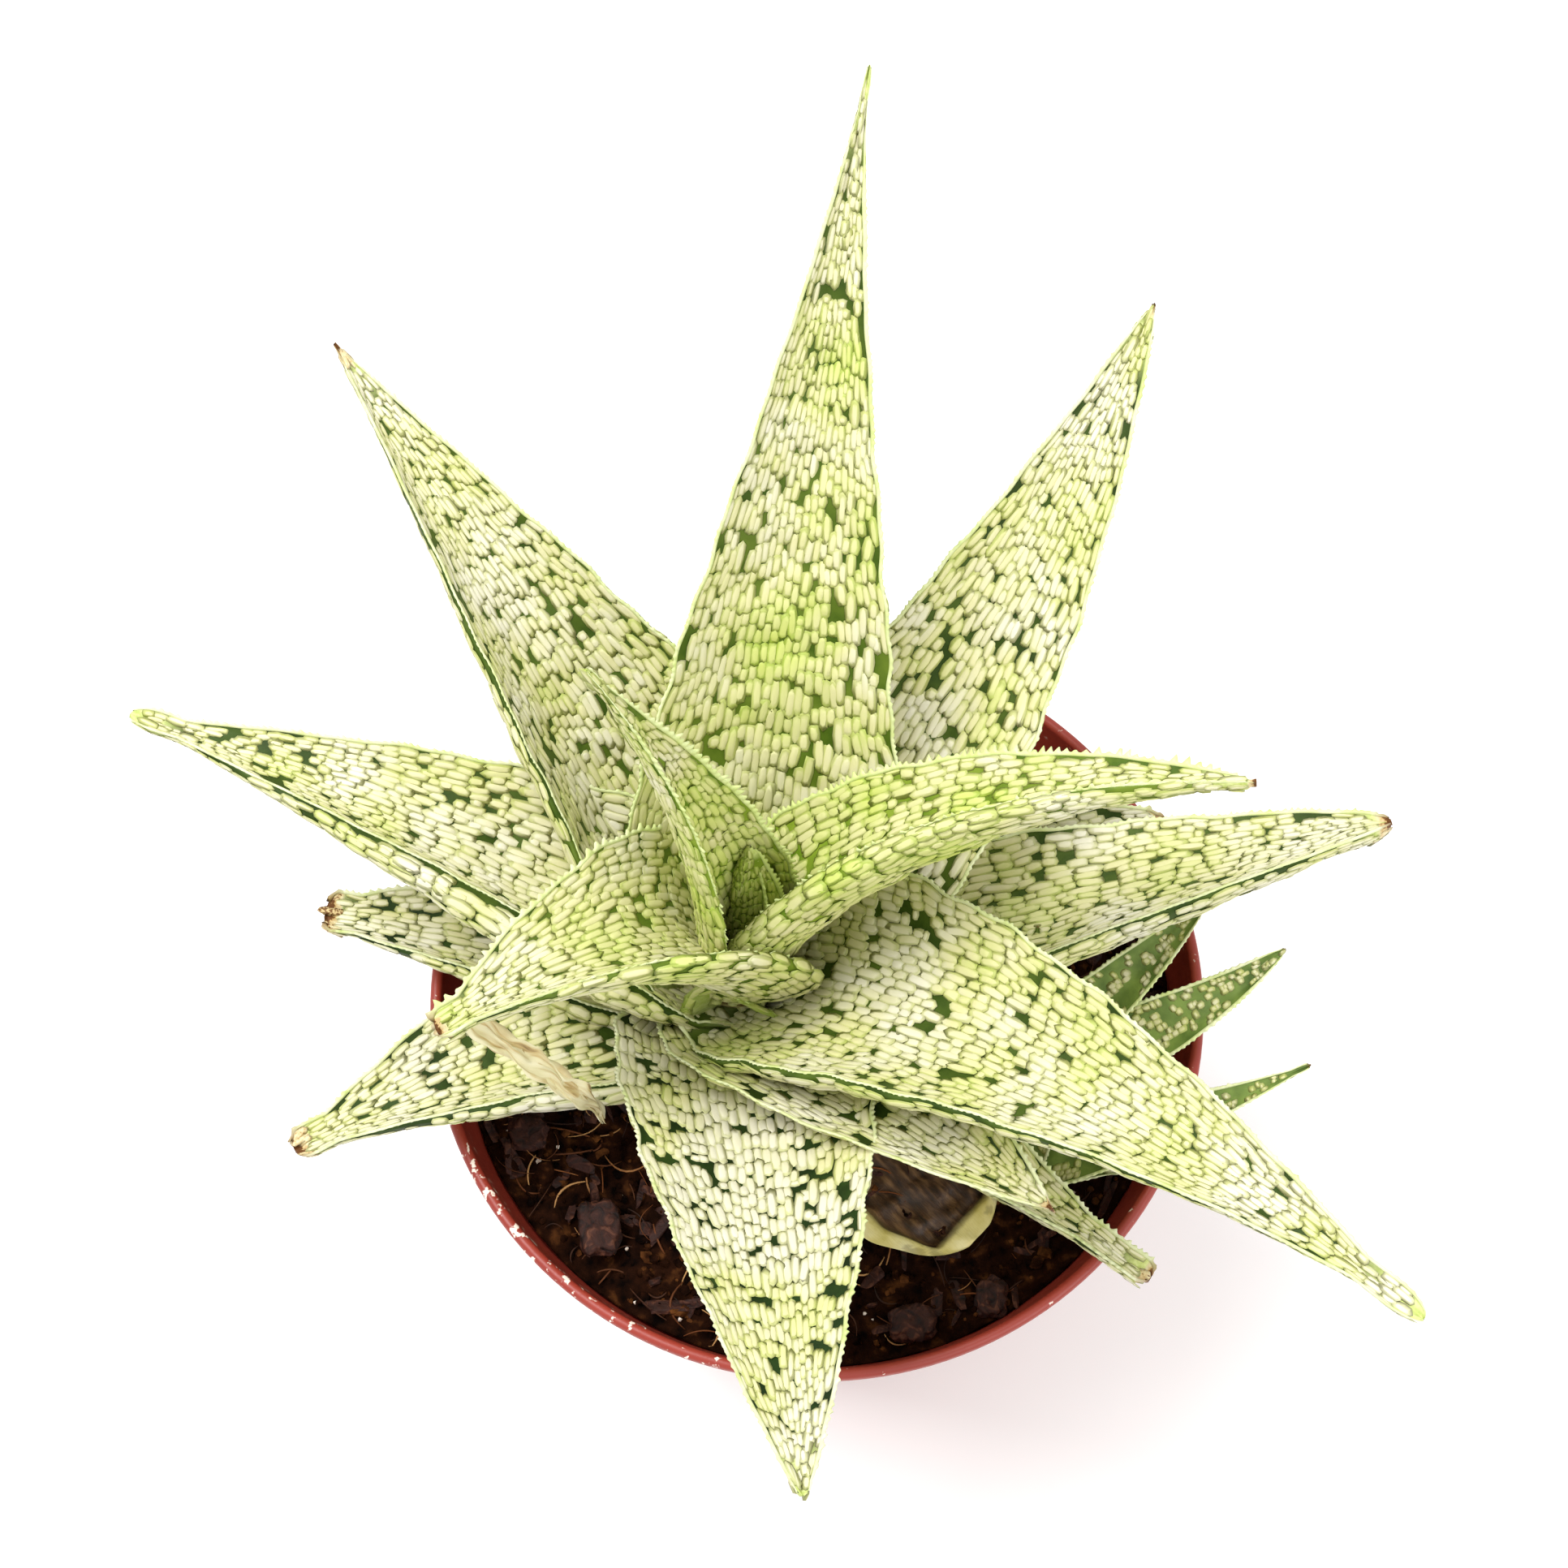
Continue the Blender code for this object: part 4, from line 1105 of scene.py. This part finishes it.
def scattered(chance, count, sunk):
    """Random places on the mix, out to just inside the pot's wall."""
    radius = (MIX_RADIUS - 1.6 * MM) * np.sqrt(chance.uniform(0, 1, count))
    turn = chance.uniform(0, 2 * pi, count)
    x, y = radius * np.cos(turn), radius * np.sin(turn)
    return np.stack([x, y, mix_height(x, y) + sunk], 1)


def turned_axes(chance, count, tilt):
    """Right-handed axes, turned at random and tilted by up to this many radians."""
    turn = chance.uniform(0, 2 * pi, count)
    lean = chance.uniform(-tilt, tilt, count)
    first = np.stack([np.cos(turn) * np.cos(lean), np.sin(turn) * np.cos(lean), np.sin(lean)], 1)
    flat = np.stack([-np.sin(turn), np.cos(turn), 0 * turn], 1)
    tip = chance.uniform(-tilt, tilt, count)[:, None]
    upright = np.cross(first, flat)
    second = flat * np.cos(tip) + upright * np.sin(tip)
    return first, second, np.cross(first, second)


def crumbs(name, chance, count, detail, sizes, material, squash):
    """Irregular grains half sunk in the surface."""
    bm = bmesh.new()
    bmesh.ops.create_icosphere(bm, subdivisions=detail, radius=1)
    mesh, shape = copies_of(mesh_of(bm, "grain"), count)
    size = sizes[0] + (sizes[1] - sizes[0]) * chance.uniform(0, 1, count) ** 2.2
    shape = shape * (1 + chance.uniform(-0.32, 0.32, shape.shape))
    shape = shape * (size[:, None] * chance.uniform(0.55, 1.0, (count, 3)))[:, None, :]
    shape[..., 2] *= squash
    first, second, third = turned_axes(chance, count, 0.7)
    middle = scattered(chance, count, 0)
    middle[:, 2] += size * 0.25
    placed = (middle[:, None, :] + shape[..., 0:1] * first[:, None, :]
              + shape[..., 1:2] * second[:, None, :] + shape[..., 2:3] * third[:, None, :])
    move_points(mesh, placed)
    tag(mesh, tone=np.repeat(chance.uniform(0, 1, count) ** 2, shape.shape[1]))
    grains = object_of(mesh, name, material)
    mesh.shade_flat()
    return grains


def splinters(chance, count):
    """Thin splinters of bark and wood, lying at all angles."""
    bm = bmesh.new()
    bmesh.ops.create_cube(bm, size=2)
    bmesh.ops.bevel(bm, geom=bm.edges[:], offset=0.35, offset_type="OFFSET", segments=1,
                    profile=0.5, affect="EDGES", material=-1)
    mesh, shape = copies_of(mesh_of(bm, "splinter"), count)
    half = np.stack([chance.uniform(0.9, 3.4, count), chance.uniform(0.25, 1.0, count),
                     chance.uniform(0.12, 0.38, count)], 1) * MM
    shape = shape * (1 + chance.uniform(-0.3, 0.3, shape.shape)) * half[:, None, :]
    first, second, third = turned_axes(chance, count, 0.5)
    middle = scattered(chance, count, 0.5 * MM)
    placed = (middle[:, None, :] + shape[..., 0:1] * first[:, None, :]
              + shape[..., 1:2] * second[:, None, :] + shape[..., 2:3] * third[:, None, :])
    move_points(mesh, placed)
    tag(mesh, tone=np.repeat(chance.uniform(0, 1, count), shape.shape[1]))
    chips = object_of(mesh, "splinters", BARK)
    mesh.shade_flat()
    return chips


def fibres(chance, count):
    """Coir fibres and fine roots, each a thin bent thread on or just over the surface."""
    stations = 8
    mesh, turn, ring = tube_grid(4, stations)
    run = ring / stations - 0.5
    bpy.data.meshes.remove(mesh)
    template, _, _ = tube_grid(4, stations)
    mesh, shape = copies_of(template, count)
    length = chance.uniform(2, 8, count)[:, None] * MM
    bend = chance.uniform(-0.35, 0.35, (count, 1)) * length
    arch = chance.uniform(-0.05, 0.16, (count, 1)) * length
    thick = chance.uniform(0.06, 0.2, (count, 1)) * MM
    taper = 1 - 1.2 * np.abs(run) ** 2
    first, second, third = turned_axes(chance, count, 0.22)
    middle = scattered(chance, count, 0.6 * MM)
    lengthwise = run * length
    sideways = bend * (1 - 4 * run * run) + thick * taper * np.cos(turn)
    upward = arch * (1 - 4 * run * run) + thick * taper * np.sin(turn)
    placed = (middle[:, None, :] + lengthwise[..., None] * first[:, None, :]
              + sideways[..., None] * second[:, None, :] + upward[..., None] * third[:, None, :])
    reach = np.hypot(placed[..., 0], placed[..., 1])
    inward = np.minimum(1, (MIX_RADIUS - 0.4 * MM) / np.maximum(reach, 1e-6))
    placed[..., 0] *= inward
    placed[..., 1] *= inward
    move_points(mesh, placed)
    tag(mesh, tone=np.repeat(chance.uniform(0, 1, count) ** 1.6, shape.shape[1]))
    return object_of(mesh, "fibres", FIBRE)


def build_chips():
    """Each loose chip again at its solid's place, broken and layered."""
    for number, name in enumerate(sorted(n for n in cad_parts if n.startswith("bark_chip"))):
        low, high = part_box(name)
        middle, size = (low + high) / 2, high - low
        bm = bmesh.new()
        bmesh.ops.create_icosphere(bm, subdivisions=4, radius=1)
        offset = Vector((number * 3.1, 0, 0))
        for vert in bm.verts:
            boxed = vert.co / sum(abs(axis) ** 3.4 for axis in vert.co) ** (1 / 3.4)
            boxed *= 1 + 0.28 * noise.noise(boxed * 1.3 + offset)
            split = round(boxed.z * 2.5 + noise.noise(boxed * 2.2 + offset)) / 2.5
            boxed *= 1 + 0.14 * sin(split * 9)
            boxed += noise.noise_vector(boxed * 4 + offset) * 0.09
            vert.co = middle + Vector(axis * side * 0.47 for axis, side in zip(boxed, size))
        bmesh.ops.recalc_face_normals(bm, faces=bm.faces)
        chip = object_of(mesh_of(bm, name), "aloe_" + name, BARK)
        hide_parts(name)
        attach(chip, BODY)


# ---- Pot ----

def build_pot():
    """The tub again with a rounded rolled lip, a stacking ledge and a moulded heel."""
    foot = 43 * MM
    wall = 1.2 * MM
    floor = 1.4 * MM
    lip, lip_depth, step = 1.8 * MM, 2.4 * MM, 0.9 * MM
    wall_top = POT_HEIGHT - lip_depth
    slope = (RIM_RADIUS - step - foot) / wall_top

    def outer(height):
        ledge = 0.35 * MM if height > wall_top - 14 * MM else 0
        return foot + slope * height - 0.35 * MM + ledge

    round_top = [
        (RIM_RADIUS - lip / 2 + lip / 2 * cos(turn), POT_HEIGHT - lip / 2 + lip / 2 * sin(turn))
        for turn in (radians(15 * number) for number in range(12, -4, -1))
    ]
    heights = [wall_top - 0.6 * MM, wall_top - 13.9 * MM, wall_top - 14.4 * MM]
    heights += [wall_top * share for share in (0.7, 0.5, 0.3, 0.15, 0.05)]
    outside = [(RIM_RADIUS - 0.1 * MM, wall_top + 0.3 * MM), (RIM_RADIUS - step, wall_top)]
    outside += [(outer(height), height) for height in heights]
    outside += [(foot - 0.4 * MM, 1.3 * MM), (foot - 0.9 * MM, 0.5 * MM), (foot - 1.8 * MM, 0)]
    inside = [(0, floor), (foot - 3.2 * MM, floor), (foot - 1.7 * MM, floor + 0.7 * MM)]
    inside += [(outer(height) - wall, height) for height in reversed(heights)]
    bm = bmesh.new()
    profile = [bm.verts.new((radius, 0, height)) for radius, height in
               round_top + outside + [(0, 0)] + inside]
    edges = [bm.edges.new(pair) for pair in zip(profile, profile[1:])]
    edges.append(bm.edges.new((profile[-1], profile[0])))
    edges = [edge for edge in edges if max(abs(v.co.x) for v in edge.verts) > 0.01 * MM]
    bmesh.ops.spin(bm, geom=profile + edges, cent=(0, 0, 0), axis=(0, 0, 1), angle=2 * pi,
                   steps=160, use_merge=True)
    bmesh.ops.remove_doubles(bm, verts=bm.verts, dist=0.00001)
    axis_edges = [edge for edge in bm.edges if not edge.link_faces]
    bmesh.ops.delete(bm, geom=axis_edges, context="EDGES")
    bmesh.ops.recalc_face_normals(bm, faces=bm.faces)
    pot = object_of(mesh_of(bm, "pot"), "nursery_pot", PLASTIC)
    drills = []
    for number in range(6):
        turn = 2 * pi * number / 6
        bm = bmesh.new()
        bmesh.ops.create_cone(
            bm, cap_ends=True, segments=40, radius1=4.5 * MM, radius2=4.5 * MM, depth=8 * MM,
            matrix=Matrix.Translation((31 * MM * cos(turn), 31 * MM * sin(turn), 0)),
        )
        drill = object_of(mesh_of(bm, "drill"), "drill")
        cut = pot.modifiers.new("drain", "BOOLEAN")
        cut.operation = "DIFFERENCE"
        cut.object = drill
        drills.append(drill)
    mesh = evaluated(pot)
    pot.modifiers.clear()
    pot.data = mesh
    for drill in drills:
        bpy.data.objects.remove(drill)
    mesh.shade_smooth()
    mesh.set_sharp_from_angle(angle=radians(35))
    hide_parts("pot")
    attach(pot, BODY)


# ---- Studio ----

def build_studio():
    bm = bmesh.new()
    bmesh.ops.create_grid(bm, x_segments=1, y_segments=1, size=3)
    sweep = object_of(mesh_of(bm, "floor"), "floor", floor_material())
    world = bpy.data.worlds.new("white_room")
    bpy.context.scene.world = world
    world.use_nodes = True
    world.node_tree.nodes["Background"].inputs["Color"].default_value = (1, 1, 1, 1)
    world.node_tree.nodes["Background"].inputs["Strength"].default_value = 0.8
    for name, place, size, power in (
        ("key_softbox", (-0.3, 0.1, 0.9), 0.45, 7.2),
        ("fill_softbox", (0.6, -0.5, 0.7), 0.6, 3.8),
    ):
        lamp = bpy.data.lights.new(name, "AREA")
        lamp.size = size
        lamp.energy = power
        holder = bpy.data.objects.new(name, lamp)
        bpy.context.scene.collection.objects.link(holder)
        holder.location = place
        aim = Vector((0, 0, 0.12)) - Vector(place)
        holder.rotation_euler = aim.to_track_quat("-Z", "Y").to_euler()
    scene = bpy.context.scene
    scene.view_settings.view_transform = "Standard"
    camera = bpy.data.cameras.new("camera")
    camera.lens = 50
    camera.sensor_width = 36
    camera.clip_start = 0.01
    holder = bpy.data.objects.new("camera", camera)
    scene.collection.objects.link(holder)
    holder.location = (-0.0051, -0.1069, POT_HEIGHT + 0.322)
    holder.rotation_euler = (radians(90 - 66.4), 0, 0)
    scene.camera = holder


for name in ("stem", "pup_a_stem", "pup_b_stem"):
    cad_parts[name].data.materials.clear()
    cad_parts[name].data.materials.append(STEM)
build_studio()
build_leaves()
build_offsets()
build_old_base()
build_mix()
build_chips()
build_pot()
bpy.context.view_layer.update()
